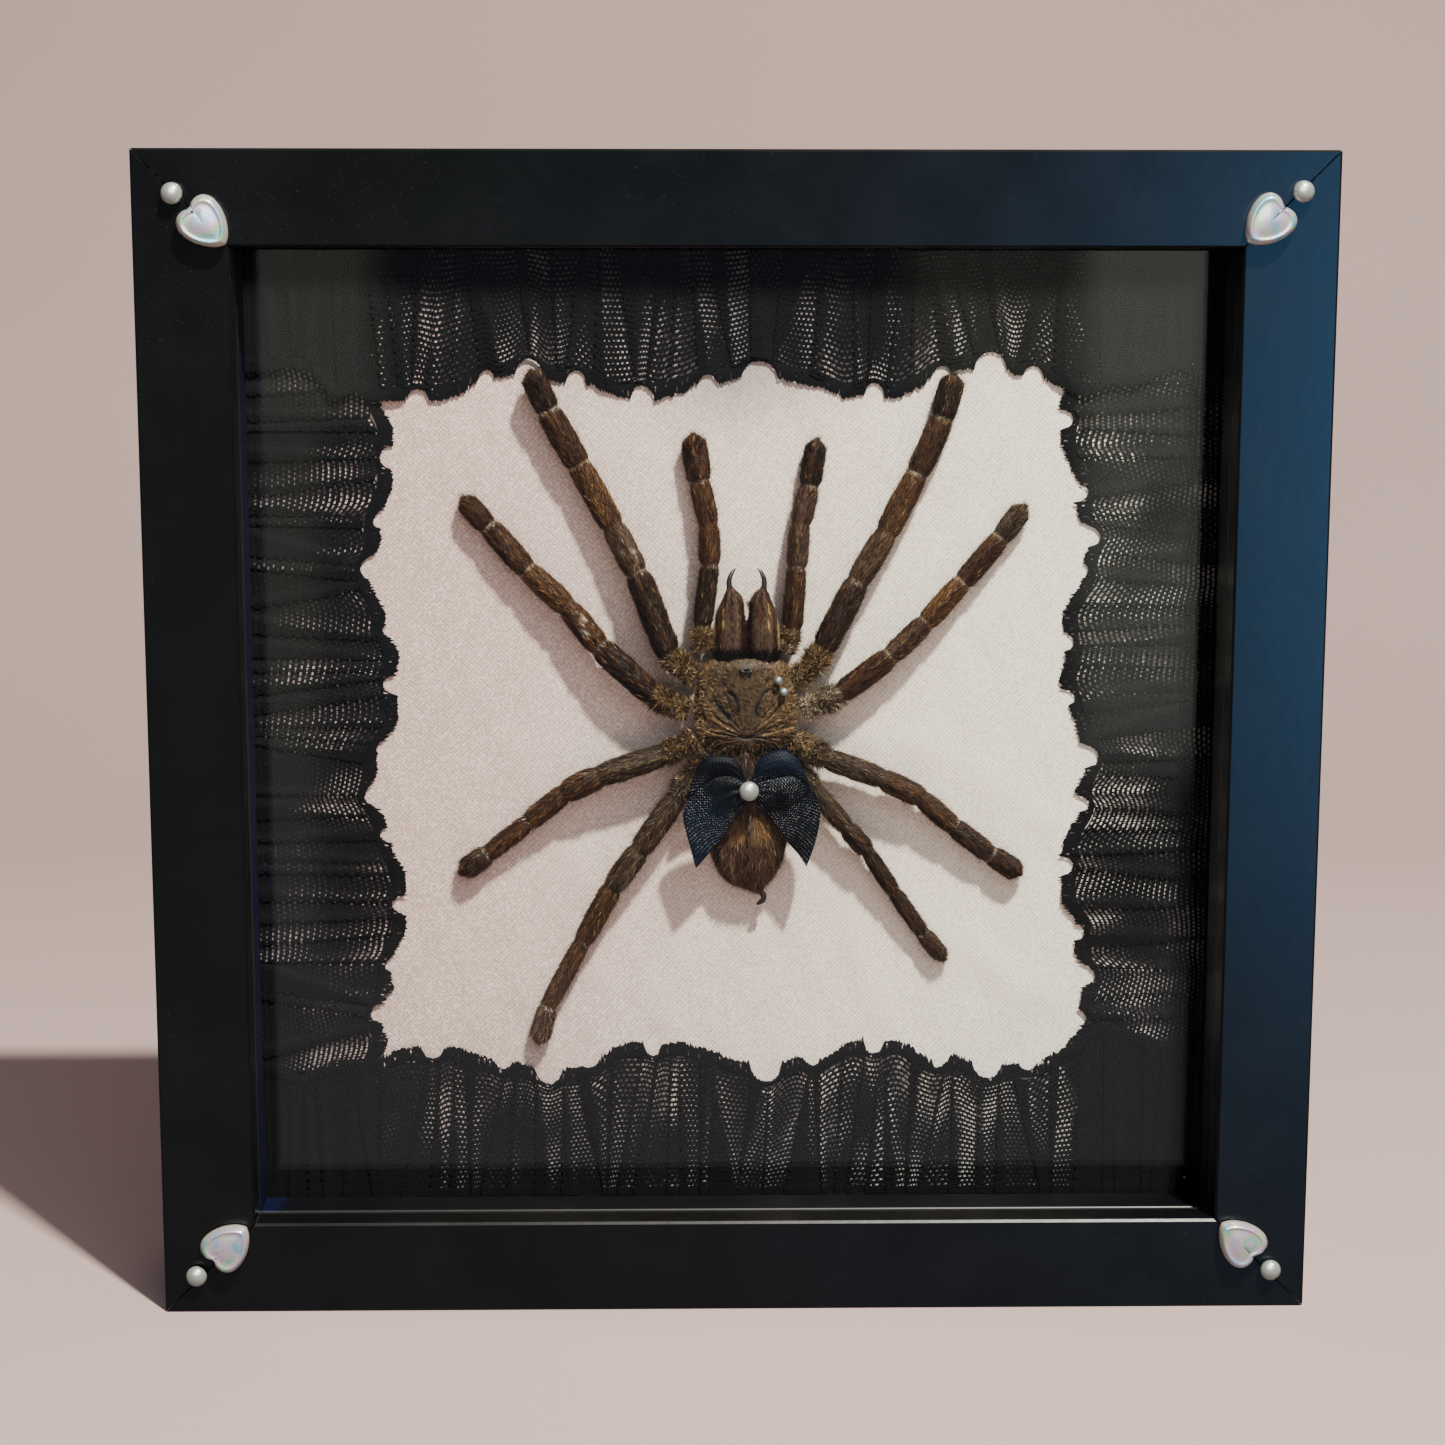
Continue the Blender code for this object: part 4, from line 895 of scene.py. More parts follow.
def weave_net(side, rng):
    """The folded net of one strip: rows of holes set like bricks, joined at every half pitch."""
    pleats = plan_pleats(side)
    length = cloth_length(pleats)
    cells = int(length / (HOLE_PITCH / DETAIL))
    steps = np.linspace(0, 1, 2 * cells + 2)
    dense = np.linspace(-LACE_END, LACE_END, 900)
    reach, bite = lace_edge(side, dense)
    inner = eased(reach - np.maximum(BAND + 0.9 * waviness(dense * 0.55, dense * 0, 50), bite + 1.3), 3.5)
    rows = int((inner.mean() - SELVEDGE) / ROW_PITCH)
    folded = [fold_strip(pleats, row / rows, steps) for row in range(rows + 1)]
    x, layer, sag, panel = (np.array(values) for values in zip(*folded))
    share = (np.arange(rows + 1) / rows)[:, None]
    depth = SELVEDGE + (np.interp(x, dense, inner) - SELVEDGE) * share + ROW_SAG * (sag - 0.6) * share
    corner, raised = lace_corner(side, x)
    puff = 0.35 * (0.5 + 0.5 * waviness(x * 0.35, depth * 0.12, LACE_SEEDS[side])) * (1 - corner)
    height = LACE_LOW + puff + raised + layer * LAYER
    points = lace_points(side, x, depth, height)
    count = points.shape[1]
    grid = np.arange(points.shape[0] * count).reshape(points.shape[:2])
    row, cell = np.meshgrid(np.arange(rows), np.arange(cells - 1), indexing="ij")
    start = 2 * cell + row % 2
    ring = [grid[row, start + k] for k in (0, 1, 2)] + [grid[row + 1, start + k] for k in (2, 1, 0)]
    flat = points.reshape(-1, 3)
    corners = [flat[ring[k]] for k in (0, 2, 3, 5)]
    place_x = x[row, start]
    opened = np.where(layer[row, start] == 1, 0.3, 1.0) * (1 + 0.3 * waviness(place_x * 0.5, row * 0.3, 7))
    opened = opened * (0.78 + 0.3 * row / rows) * (1 - 0.8 * smoothly(abs(place_x), *CORNER_CLOSED))
    opened = opened * rng.uniform(0.65, 1.2, len(pleats) + 2)[panel[row, start]]
    opened = np.clip(opened, 0.2, 1.3)
    wide = (HOLE_HALF[0] * rng.uniform(0.8, 1.14, row.shape) * opened)[..., None]
    tall = (HOLE_HALF[1] * rng.uniform(0.75, 1.25, row.shape) * opened)[..., None]

    def inside(across, up):
        low = corners[0] * (0.5 - across) + corners[1] * (0.5 + across)
        high = corners[3] * (0.5 - across) + corners[2] * (0.5 + across)
        return low * (0.5 - up) + high * (0.5 + up)
    hole_points = [inside(-wide, -tall), inside(wide, -tall), inside(wide, tall), inside(-wide, tall)]
    base = len(flat)
    size = row.size
    hole = [base + k * size + np.arange(size).reshape(row.shape) for k in range(4)]
    three = [(ring[0], ring[1], hole[0]), (ring[1], hole[1], hole[0]), (ring[1], ring[2], hole[1]),
             (ring[3], ring[4], hole[2]), (ring[4], hole[3], hole[2]), (ring[4], ring[5], hole[3])]
    four = [(ring[2], ring[3], hole[2], hole[1]), (ring[5], ring[0], hole[0], hole[3])]
    triangles, quads = (np.concatenate([np.stack([part.ravel() for part in face], -1) for face in faces])
                        for faces in (three, four))
    points = np.concatenate([flat] + [part.reshape(-1, 3) for part in hole_points])
    selvedge = lace_points(side, x[0], np.zeros_like(x[0]), height[0])
    k, top = np.arange(count - 1), len(points)
    quads = np.concatenate([quads, np.stack([top + k, k, k + 1, top + k + 1], -1)])
    return np.concatenate([points, selvedge]), triangles, quads, length, pleats


def weave_band(side, rng, pleats):
    """The dense scalloped band along the inner edge, with half-round bites, slits and a tufted rim."""
    columns = int(2 * LACE_END / (0.3 / DETAIL))
    along = np.linspace(-LACE_END, LACE_END, columns)
    reach, bite = lace_edge(side, along)
    slope = abs(np.gradient(eased(reach - bite, 2), along))
    tuft = rng.normal(0, 0.3, columns) + np.where(np.arange(columns) % 2, 0.2, -0.2)
    tuft = tuft * (0.5 + 0.9 * np.clip(slope, 0, 1.2)) * np.where(bite > 0, 0.35, 1)
    edge = eased(reach, 1.6) - bite + tuft
    start = eased(reach - np.maximum(BAND, bite + 1.0), 5) - 0.7
    rows = 7
    share = np.linspace(0, 1, rows)[:, None]
    depth = start + (edge - start) * share
    corner, raised = lace_corner(side, along)
    lift = LACE_LOW + raised + 0.12 + 0.3 * (0.5 + 0.5 * waviness(along * 0.5, along * 0, 3)) * (1 - corner)
    height = lift + 0.12 * np.sin(share * pi) + 0 * depth
    points = lace_points(side, along + 0 * depth, depth, height).reshape(-1, 3)
    faces = sheet_faces(rows, columns).reshape(rows - 1, columns - 1, 4)
    kept = np.ones((rows - 1, columns - 1), dtype=bool)
    for column in range(3, columns - 4, 4):
        if rng.random() < 0.5:
            first = rng.integers(1, 4)
            kept[first:first + rng.integers(1, 3), column] = False
    for near, far in zip(pleats[:, 2], pleats[:, 3]):
        middle = (along[:-1] > near) & (along[:-1] < far)
        kept[:, middle] = True
    return points, faces[kept]


def hang_lace():
    """The four strips, in black cotton net that is matt and a little fluffy."""
    black = clouded("black_net_finish", (1400, 3), ((2, 2, 4), (9, 9, 12)), (0.7, 0.25), (0.0001, 0.6),
                    Specular_IOR_Level=0.16)
    for side in LACE_EDGES:
        rng = np.random.default_rng(LACE_SEEDS[side])
        points, triangles, quads, length, pleats = weave_net(side, rng)
        band_points, band_faces = weave_band(side, rng, pleats)
        quads = np.concatenate([quads, band_faces + len(points)])
        points = np.concatenate([points, band_points])
        strip = mesh_piece(f"lace_strip_{side}", points, [triangles, quads], [black], smooth=False)
        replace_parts(strip, f"lace_{side}")


# ---------------------------------------------------------------- hair
HAIR_PAINTS = {
    "night": (14, 8, 5), "maroon": (54, 22, 16), "umber": (39, 23, 13), "chestnut": (62, 38, 21),
    "tan": (86, 56, 32), "ochre": (101, 71, 37), "gold": (142, 111, 64), "straw": (190, 162, 114),
    "mauve": (80, 60, 49), "olive": (66, 56, 39), "ash": (106, 93, 73), "pale": (210, 198, 170)}
# each coat: the tone of the skin under it, then its share of each of those colours, in hundredths
COATS = {
    "brown": ((46, 30, 20), (10, 0, 30, 36, 20, 4, 0, 0, 0, 0, 0, 0)),
    "dark": ((30, 20, 14), (30, 0, 44, 20, 6, 0, 0, 0, 0, 0, 0, 0)),
    "ochre": ((70, 48, 29), (6, 0, 18, 28, 26, 18, 4, 0, 0, 0, 0, 0)),
    "olive": ((54, 46, 34), (20, 0, 28, 20, 0, 0, 0, 0, 0, 26, 6, 0)),
    "smoke": ((50, 44, 36), (20, 0, 22, 0, 0, 0, 0, 0, 12, 28, 18, 0)),
    "frost": ((84, 74, 60), (0, 0, 10, 0, 0, 0, 0, 0, 14, 10, 40, 26)),
    "bronze": ((44, 32, 20), (26, 0, 28, 0, 8, 8, 8, 0, 0, 10, 12, 0)),
    "cheek": ((66, 46, 24), (30, 0, 20, 0, 0, 10, 12, 6, 0, 16, 6, 0)),
    "brow": ((56, 42, 26), (30, 0, 22, 8, 0, 8, 0, 0, 0, 28, 4, 0)),
    "gilded": ((58, 46, 30), (12, 0, 16, 0, 0, 0, 14, 14, 0, 16, 28, 0)),
    "grey": ((70, 60, 48), (0, 0, 20, 0, 0, 0, 0, 0, 10, 20, 44, 6)),
    "golden": ((54, 42, 28), (22, 0, 20, 0, 0, 6, 10, 8, 0, 14, 20, 0)),
    "curl": ((60, 50, 34), (16, 0, 0, 0, 0, 0, 16, 32, 0, 0, 36, 0)),
    "amber": ((96, 74, 40), (0, 0, 14, 0, 10, 20, 24, 0, 0, 18, 14, 0)),
    "white": ((170, 160, 136), (0, 0, 0, 0, 0, 0, 0, 20, 0, 0, 0, 80)),
    "gilt": ((120, 90, 50), (0, 0, 0, 0, 0, 25, 45, 30, 0, 0, 0, 0)),
    "fleck": ((100, 74, 42), (0, 0, 0, 0, 40, 20, 30, 10, 0, 0, 0, 0)),
    "russet": ((66, 44, 27), (6, 0, 24, 38, 22, 10, 0, 0, 0, 0, 0, 0)),
    "hazel": ((72, 54, 38), (10, 0, 20, 16, 14, 0, 0, 0, 10, 16, 14, 0)),
    "plum": ((62, 46, 38), (8, 0, 34, 10, 16, 0, 0, 0, 28, 0, 4, 0)),
    "wine": ((36, 17, 13), (30, 60, 10, 0, 0, 0, 0, 0, 0, 0, 0, 0)),
    "black": ((13, 9, 7), (88, 0, 12, 0, 0, 0, 0, 0, 0, 0, 0, 0))}
COAT_ORDER = list(COATS)
COAT_SHARES = np.array([shares for _, shares in COATS.values()]) / 100


def coat(name):
    return COAT_ORDER.index(name)


def last_of(shape, name, rules):
    """An array of coats: the one named first, or that of the last rule that holds for a point."""
    kinds = np.full(shape, coat(name))
    for holds, chosen in rules:
        kinds = np.where(holds, coat(chosen), kinds)
    return kinds


def all_in(name):
    """One coat for every strand."""
    return lambda base: np.full(len(base), coat(name))


def shade(red, green, blue):
    """A colour for sums on arrays."""
    return np.array(paint(red, green, blue)[:3])


def skin_tone(coats):
    """Skin colours for an array of coats."""
    return np.array([shade(*tone) for tone, _ in COATS.values()])[coats]


def paint_hairs():
    """One plain finish for each hair colour. The mixed strands make the pattern."""
    plain = {"Roughness": 0.5, "Specular_IOR_Level": 0.16}
    return [Finish(f"hair_{name}", Base_Color=paint(*colour), **plain).material
            for name, colour in HAIR_PAINTS.items()]


class Hairs:
    """Strands gathered for one piece: flat tapered blades, straight or bent once."""

    def __init__(self, name, seed):
        self.name = name
        self.rng = np.random.default_rng(seed)
        self.points, self.faces, self.slots = [], [], []
        self.count = 0

    def colours(self, coats, lighter=0):
        shares = COAT_SHARES[coats]
        draw = np.clip(self.rng.random(len(coats)) + lighter, 0, 0.999)[:, None]
        return (shares.cumsum(axis=1) < draw).sum(axis=1).clip(0, len(HAIR_PAINTS) - 1)

    def add(self, base, way, out, length, width, lift, coats, bend=None, lighter=0):
        """Base points, the way the strands lie, the way out of the skin, sizes in metres, lift angles."""
        many = len(base)
        if not many:
            return
        side = np.cross(way, out)
        side /= np.linalg.norm(side, axis=1, keepdims=True) + 1e-12
        way = np.cross(out, side)
        twist = self.rng.normal(0, 0.45, many)[:, None]
        side = side * np.cos(twist) + out * np.sin(twist)
        length = np.broadcast_to(length, many)[:, None]
        half = np.broadcast_to(width, many)[:, None] / 2
        lift = np.broadcast_to(lift, many)[:, None]
        base = base - out * 0.00004
        reach = way * np.cos(lift) + out * np.sin(lift)
        slots = self.colours(coats, lighter)
        if bend is None:
            blade = np.stack([base - side * half, base + side * half, base + reach * length], axis=1)
            start = self.count + 3 * np.arange(many)
            self.faces.append(np.stack([start, start + 1, start + 2], -1))
            self.slots.append(slots)
        else:
            bend = np.broadcast_to(bend, many)[:, None]
            sway = self.rng.normal(0, 0.3, many)[:, None]
            middle = base + reach * length * 0.5
            onward = way * np.cos(lift + bend) + out * np.sin(lift + bend) + side * sway
            blade = np.stack([base - side * half, base + side * half, middle + side * half * 0.8,
                              middle - side * half * 0.8, middle + onward * length * 0.5], axis=1)
            start = self.count + 5 * np.arange(many)
            self.faces += [np.stack([start, start + 1, start + 2], -1),
                           np.stack([start, start + 2, start + 3], -1),
                           np.stack([start + 3, start + 2, start + 4], -1)]
            self.slots += [slots] * 3
        self.points.append(blade.reshape(-1, 3))
        self.count += blade.shape[0] * blade.shape[1]

    def grow(self, finishes):
        made = mesh_piece(self.name, np.concatenate(self.points), [np.concatenate(self.faces)], finishes,
                          slots=np.concatenate(self.slots), smooth=False)


class Skin:
    """A closed form kept as rings of points, from which its mesh is made and its hair is planted."""

    def __init__(self, rings, coats):
        self.rings = rings
        self.coats = coats
        along = np.gradient(rings, axis=0)
        around = np.roll(rings, -1, axis=1) - np.roll(rings, 1, axis=1)
        out = np.cross(along, around)
        self.out = out / (np.linalg.norm(out, axis=2, keepdims=True) + 1e-12)
        self.along = along / (np.linalg.norm(along, axis=2, keepdims=True) + 1e-12)
        row, column = np.meshgrid(np.arange(len(rings)), np.arange(rings.shape[1]), indexing="ij")
        self.streak = 0.2 * waviness(column * tau / rings.shape[1] * 7, row * 0.16, len(rings))
        middle = rings.mean(axis=1, keepdims=True)
        self.flipped = ((rings - middle) * self.out).sum() < 0
        if self.flipped:
            self.out = -self.out

    def made(self, name, finish, slot="brown_hair"):
        rows, columns, _ = self.rings.shape
        points = self.rings.reshape(-1, 3)
        faces = sheet_faces(rows, columns, closed=True)
        ends = np.stack([self.rings[0].mean(axis=0), self.rings[-1].mean(axis=0)])
        k = np.arange(columns)
        first = np.stack([np.full(columns, rows * columns), k, (k + 1) % columns], -1)
        last = np.stack([np.full(columns, rows * columns + 1), (rows - 1) * columns + (k + 1) % columns,
                         (rows - 1) * columns + k], -1)
        if self.flipped:
            faces, first, last = faces[:, ::-1], first[:, ::-1], last[:, ::-1]
        piece = mesh_piece(name, np.concatenate([points, ends]), [np.concatenate([first, last]), faces],
                           [finish])
        tones = skin_tone(self.coats.reshape(-1))
        mark_colour(piece, "tone", np.concatenate([tones, tones[:1], tones[-1:]]))
        return piece

    def plant(self, hairs, count, length, width, lift, swirl=0.22, bend=None, keep=None, coats=None,
              way=None, under=0.3):
        """Scatter strands over the form. They lie along it towards its first ring unless a way is given.
        Fewer grow underneath, and keep gives the share that grows, for each point or by place."""
        rng = hairs.rng
        rows, columns, _ = self.rings.shape
        count = int(count * DETAIL)
        a = rng.random(count) * (rows - 1.001)
        b = rng.random(count) * columns
        a0, b0 = a.astype(int), b.astype(int) % columns
        fa, fb = (a - a0)[:, None], (b - b.astype(int))[:, None]

        def at(field):
            return ((field[a0, b0] * (1 - fb) + field[a0, (b0 + 1) % columns] * fb) * (1 - fa)
                    + (field[a0 + 1, b0] * (1 - fb) + field[a0 + 1, (b0 + 1) % columns] * fb) * fa)
        base, out = at(self.rings), at(self.out)
        chance = under + (1 - under) * smoothly(-out[:, 1], -0.3, 0.3)
        if keep is not None:
            chance = chance * (keep(base) if callable(keep) else keep[a0, b0])
        grown = rng.random(count) < chance
        base, out, a0, b0 = base[grown], out[grown], a0[grown], b0[grown]
        many = len(base)
        lie = -self.along[a0, b0] if way is None else way(base)
        turned = np.cross(out, lie)
        angle = rng.normal(0, swirl, many)[:, None]
        lie = lie * np.cos(angle) + turned * np.sin(angle)
        kinds = self.coats[a0, b0] if coats is None else coats(base)
        stretch = rng.uniform(0.65, 1.25, many)
        hairs.add(base, lie, out, length * MM * stretch, width * MM * rng.uniform(0.7, 1.3, many),
                  lift * rng.uniform(0.4, 1.6, many), kinds, bend=bend, lighter=self.streak[a0, b0])


# ---------------------------------------------------------------- tarantula limbs
# each limb: its joints (x, z, height) from the tip of the foot to the body, the radius and the coat of each
# segment between them, and the joints where pale membrane shows, with how pale it is there
LIMBS = {
    "leg_1_left": (
        [(-44.8, 203.4, 4.6), (-40.9, 194.8, 4.2), (-34.3, 182.8, 3.6), (-26.7, 169.3, 4.6),
         (-21.5, 158.9, 5.6), (-14.6, 141, 6), (-11.4, 137.9, 5.8), (-8.4, 136, 5.6)],
        (2.6, 2.7, 2.65, 2.55, 2.8, 2.6, 2.2),
        ("dark", "brown", "ochre", "hazel", "dark", "golden", "golden"), {1: 0.9, 2: 0.7, 4: 0.5}),
    "leg_2_left": (
        [(-60.2, 175.4, 2.5), (-54.5, 169.1, 2.7), (-45.9, 159.4, 3.5), (-36.9, 151.3, 4.6),
         (-29.8, 142.4, 5.6), (-18.3, 131.9, 6), (-13.9, 129.7, 5.8), (-10, 128.4, 5.6)],
        (2.25, 2.4, 2.45, 2.45, 2.7, 2.6, 2.2),
        ("brown", "brown", "ochre", "russet", "dark", "bronze", "golden"), {1: 0.8, 2: 0.7, 4: 0.3}),
    "leg_3_left": (
        [(-61.6, 90.8, 2.5), (-55.6, 95.1, 2.6), (-46.3, 102.6, 3.4), (-37.9, 109.6, 4.6),
         (-29.9, 113.5, 5.6), (-15.6, 118.4, 6), (-12.1, 119.7, 5.8), (-8.5, 122.2, 5.6)],
        (2.35, 1.95, 2.2, 2.55, 2.55, 2.5, 2.1),
        ("dark", "brown", "brown", "brown", "olive", "bronze", "bronze"), {1: 0.5, 2: 0.4}),
    # the last coat of leg 4 left, dark, is painted shade under the bow
    "leg_4_left": (
        [(-44.5, 51.2, 2.4), (-42.5, 59.4, 2.5), (-34.3, 74.9, 3.4), (-27.3, 87.9, 4.6),
         (-21.2, 96.6, 5.4), (-12.6, 109, 5.8), (-9.9, 113.5, 5.7), (-5.2, 117.8, 5.6)],
        (2.15, 1.85, 2.2, 2.45, 2.45, 2.3, 1.9),
        ("plum", "brown", "brown", "olive", "olive", "smoke", "dark"), {1: 0.6, 2: 0.3}),
    "leg_1_right": (
        [(48.6, 202.6, 3.2), (46.1, 193.1, 3.2), (40.4, 180.8, 3.5), (33.8, 167.7, 4.6),
         (27.3, 156.9, 5.6), (19.9, 142.2, 6), (17, 137.7, 5.8), (13.4, 135.2, 5.6)],
        (2.65, 2.6, 2.55, 2.55, 2.8, 2.6, 2.2),
        ("dark", "brown", "russet", "hazel", "dark", "gilded", "gilded"), {1: 0.8, 2: 0.8, 4: 0.4}),
    "leg_2_right": (
        [(64.7, 173.6, 2.5), (59.4, 166.5, 2.6), (50.9, 156.6, 3.4), (42.7, 147.7, 4.6),
         (34.7, 140.3, 5.6), (23.6, 132, 6), (18.6, 129.7, 5.8), (15, 128.4, 5.6)],
        (2.2, 2.2, 2.2, 2.2, 2.4, 2.5, 2.1),
        ("smoke", "brown", "ochre", "plum", "brown", "grey", "frost"),
        {1: 0.9, 2: 0.8, 3: 0.5, 4: 0.6}),
    "leg_3_right": (
        [(65.2, 90.2, 2.5), (58.3, 94.6, 2.6), (49.6, 101.5, 3.4), (42.3, 108.1, 4.6),
         (33.2, 112.8, 5.6), (20.6, 117.4, 6), (17.2, 119.2, 5.8), (13.4, 122.2, 5.6)],
        (2.3, 2.1, 2.15, 2.4, 2.35, 2.5, 2.1),
        ("dark", "dark", "brown", "brown", "olive", "smoke", "golden"), {1: 0.6, 2: 0.4}),
    "leg_4_right": (
        [(48.1, 70.4, 2.2), (43.2, 76.4, 2.3), (36.4, 86.3, 3.3), (30.3, 95.8, 4.5), (25.3, 101.6, 5.4),
         (17.8, 110.5, 5.8), (14.6, 114.4, 5.7), (10.2, 118, 5.6)],
        (1.75, 1.55, 1.6, 2, 2, 2, 1.8), ("dark", "dark", "dark", "dark", "olive", "smoke", "black"),
        {1: 0.5, 2: 0.3}),
    "palp_left": (
        [(-9.1, 189.4, 2.7), (-7.6, 179, 3), (-5.5, 169.3, 4.2), (-5.4, 160.5, 5), (-7.2, 147, 5.4),
         (-7.3, 143.4, 5.3), (-6.7, 141.4, 5.2)],
        (2.55, 2.15, 2.2, 2, 1.9, 1.7), ("brown", "russet", "russet", "dark", "gilded", "gilded"),
        {1: 0.7, 3: 0.6}),
    "palp_right": (
        [(18.3, 188.2, 2.6), (16.7, 178, 3), (14.7, 169.6, 4.2), (13.9, 160, 5), (12.9, 146.3, 5.4),
         (12.3, 143.2, 5.3), (11.6, 141.2, 5.2)],
        (2.3, 2.2, 2.2, 2.1, 1.9, 1.7), ("dark", "plum", "plum", "brown", "gilded", "frost"),
        {1: 0.6, 3: 0.5})}
# rubbed patellae that shine pale: how pale, for each limb that has one
RUBBED = {"leg_1_left": (3, 0.75), "leg_2_left": (3, 1), "palp_left": (3, 0.15)}
LIMB_AROUND = 22
RING_STEP = 0.45
MEMBRANE = (196, 184, 156)
SHINE = (214, 208, 190)
# the length of leg for which the counts of hairs are given
FULL_LEG = 85


def limb_skin(name):
    """A limb as rings: waisted at each joint, round at the foot, with shallow dried furrows along it."""
    joints, radii, names, pale_joints = LIMBS[name]
    joints = np.array(joints)
    spans = np.linalg.norm(np.diff(joints, axis=0), axis=1)
    ends = np.concatenate([[0], np.cumsum(spans)])
    count = int(ends[-1] / RING_STEP)
    along = np.concatenate([[0.03, 0.12, 0.27, 0.45, 0.7], np.linspace(1.0, ends[-1] - 0.02, count - 5)])
    centre = eased(np.stack([np.interp(along, ends, column) for column in joints.T], -1), 2.2)
    segment = np.clip(np.searchsorted(ends, along, side="right") - 1, 0, len(radii) - 1)
    before, after = along - ends[segment], ends[segment + 1] - along
    share = before / spans[segment]
    near = np.minimum(np.where(segment == 0, 9.0, before), np.where(segment == len(radii) - 1, 9.0, after))
    girth = np.array(radii)[segment] * (0.88 + 0.12 * smoothly(near, 0.0, 2.0))
    girth = eased(girth * (1 + 0.06 * np.sin(pi * share)), 1.3)
    girth = girth * (1 - 0.08 * np.exp(-(near / 0.4) ** 2))
    tip = np.clip(along / 2.0, 0, 1)
    girth = girth * np.sqrt(np.clip(1 - (1 - tip) ** 2, 0.02, 1))
    places = placed(*centre.T)
    tangent = np.gradient(places, axis=0)
    tangent /= np.linalg.norm(tangent, axis=1, keepdims=True)
    side = np.cross(tangent, np.array([0, -1.0, 0]))
    side /= np.linalg.norm(side, axis=1, keepdims=True)
    lift = np.cross(side, tangent)
    turn = np.linspace(0, tau, LIMB_AROUND, endpoint=False)
    seed = len(name) * 7 + sum(map(ord, name))
    far = along[:, None]
    furrow = 1 + 0.035 * waviness(np.cos(turn)[None, :] * 5, far * 0.22 + np.sin(turn)[None, :] * 5, seed)
    furrow = furrow + 0.02 * waviness(turn[None, :] * 3.0, far * 0.9, seed + 1)
    radius = girth[:, None] * furrow * MM
    rings = (places[:, None, :] + side[:, None, :] * (np.cos(turn) * radius)[..., None]
             + lift[:, None, :] * (np.sin(turn) * radius)[..., None] * 0.94)
    coats = np.array([coat(names[index]) for index in segment])
    coats = np.repeat(coats[:, None], LIMB_AROUND, axis=1)
    pale = np.zeros(count)
    for joint, strength in pale_joints.items():
        pale = np.maximum(pale, 1.2 * strength * np.exp(-((along - ends[joint]) / 0.36) ** 2))
    rubbed = np.zeros((count, LIMB_AROUND))
    if name in RUBBED:
        which, strength = RUBBED[name]
        middle = (ends[which] + ends[which + 1]) / 2
        streak = waviness(turn[None, :] * 8 + far * 0.5, far * 0.9, seed + 5)
        rubbed = (strength * np.exp(-((along - middle) / 3.1) ** 4)[:, None]
                  * np.exp(-((turn - pi * 0.55) / 0.75) ** 2)[None, :] * smoothly(streak, 0.0, 0.7))
    return Skin(rings, coats), along, ends, pale, rubbed, turn


def repaint(piece, tones):
    """Give a form's points their own colours in place of its coats'."""
    tones = tones.reshape(-1, 3)
    piece.data.attributes.remove(piece.data.attributes["tone"])
    mark_colour(piece, "tone", np.concatenate([tones, tones[:1], tones[-1:]]))


def grow_limbs(skin_finish, hair_finishes):
    """Legs and palps: pale at some joints, rubbed in places, and long-haired near the body."""
    for number, name in enumerate(LIMBS):
        skin, along, ends, pale, rubbed, turn = limb_skin(name)
        piece = skin.made(f"{name}_skin", skin_finish)
        tones = skin_tone(skin.coats)
        spots = np.clip(pale[:, None] * (0.7 + 0.5 * np.sin(turn * 3 + number))[None, :], 0, 1)
        tones = tones * (1 - spots[..., None]) + shade(*MEMBRANE) * spots[..., None]
        shine = rubbed[..., None]
        repaint(piece, tones * (1 - shine) + shade(*SHINE) * shine)
        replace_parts(piece, name)

        at = np.repeat(along[:, None], LIMB_AROUND, axis=1)
        furry = (1 - 0.75 * np.clip(pale, 0, 1))[:, None] * (1 - 0.7 * rubbed)
        body_end = smoothly(at, ends[-3] - 1.0, ends[-3] + 1.5)
        foot = 1 - smoothly(at, 6.5, 9.5)
        toe = 1 - smoothly(at, 1.2, 2.6)
        creased = spots ** 1.3
        hairs = Hairs(f"{name}_hair", 100 + number)
        size = ends[-1] / FULL_LEG
        for count, length, width, lift, swirl, keep, how in (
                (17500, 1.7, 0.15, 0.2, 0.22, furry, {}),
                (2700, 2.3, 0.08, 0.42, 0.4, furry, {"bend": 0.2}),
                (1500, 2.2, 0.1, 0.1, 0.16, furry, {"coats": all_in("fleck")}),
                (22000, 1.9, 0.13, 0.5, 0.8, body_end, {"bend": 0.6}),
                (3600, 1.7, 0.12, 0.7, 0.8, body_end, {"bend": 0.9, "coats": all_in("curl")}),
                (9000, 0.7, 0.09, 0.4, 0.35, foot, {"under": 0.8}),
                (9000, 0.5, 0.1, 0.7, 0.9, toe, {"under": 0.8}),
                (14000, 0.7, 0.15, 0.6, 0.5, creased, {"coats": all_in("white"), "under": 0.1})):
            skin.plant(hairs, count * size, length, width, lift, swirl, keep=keep, **how)
        hairs.grow(hair_finishes)


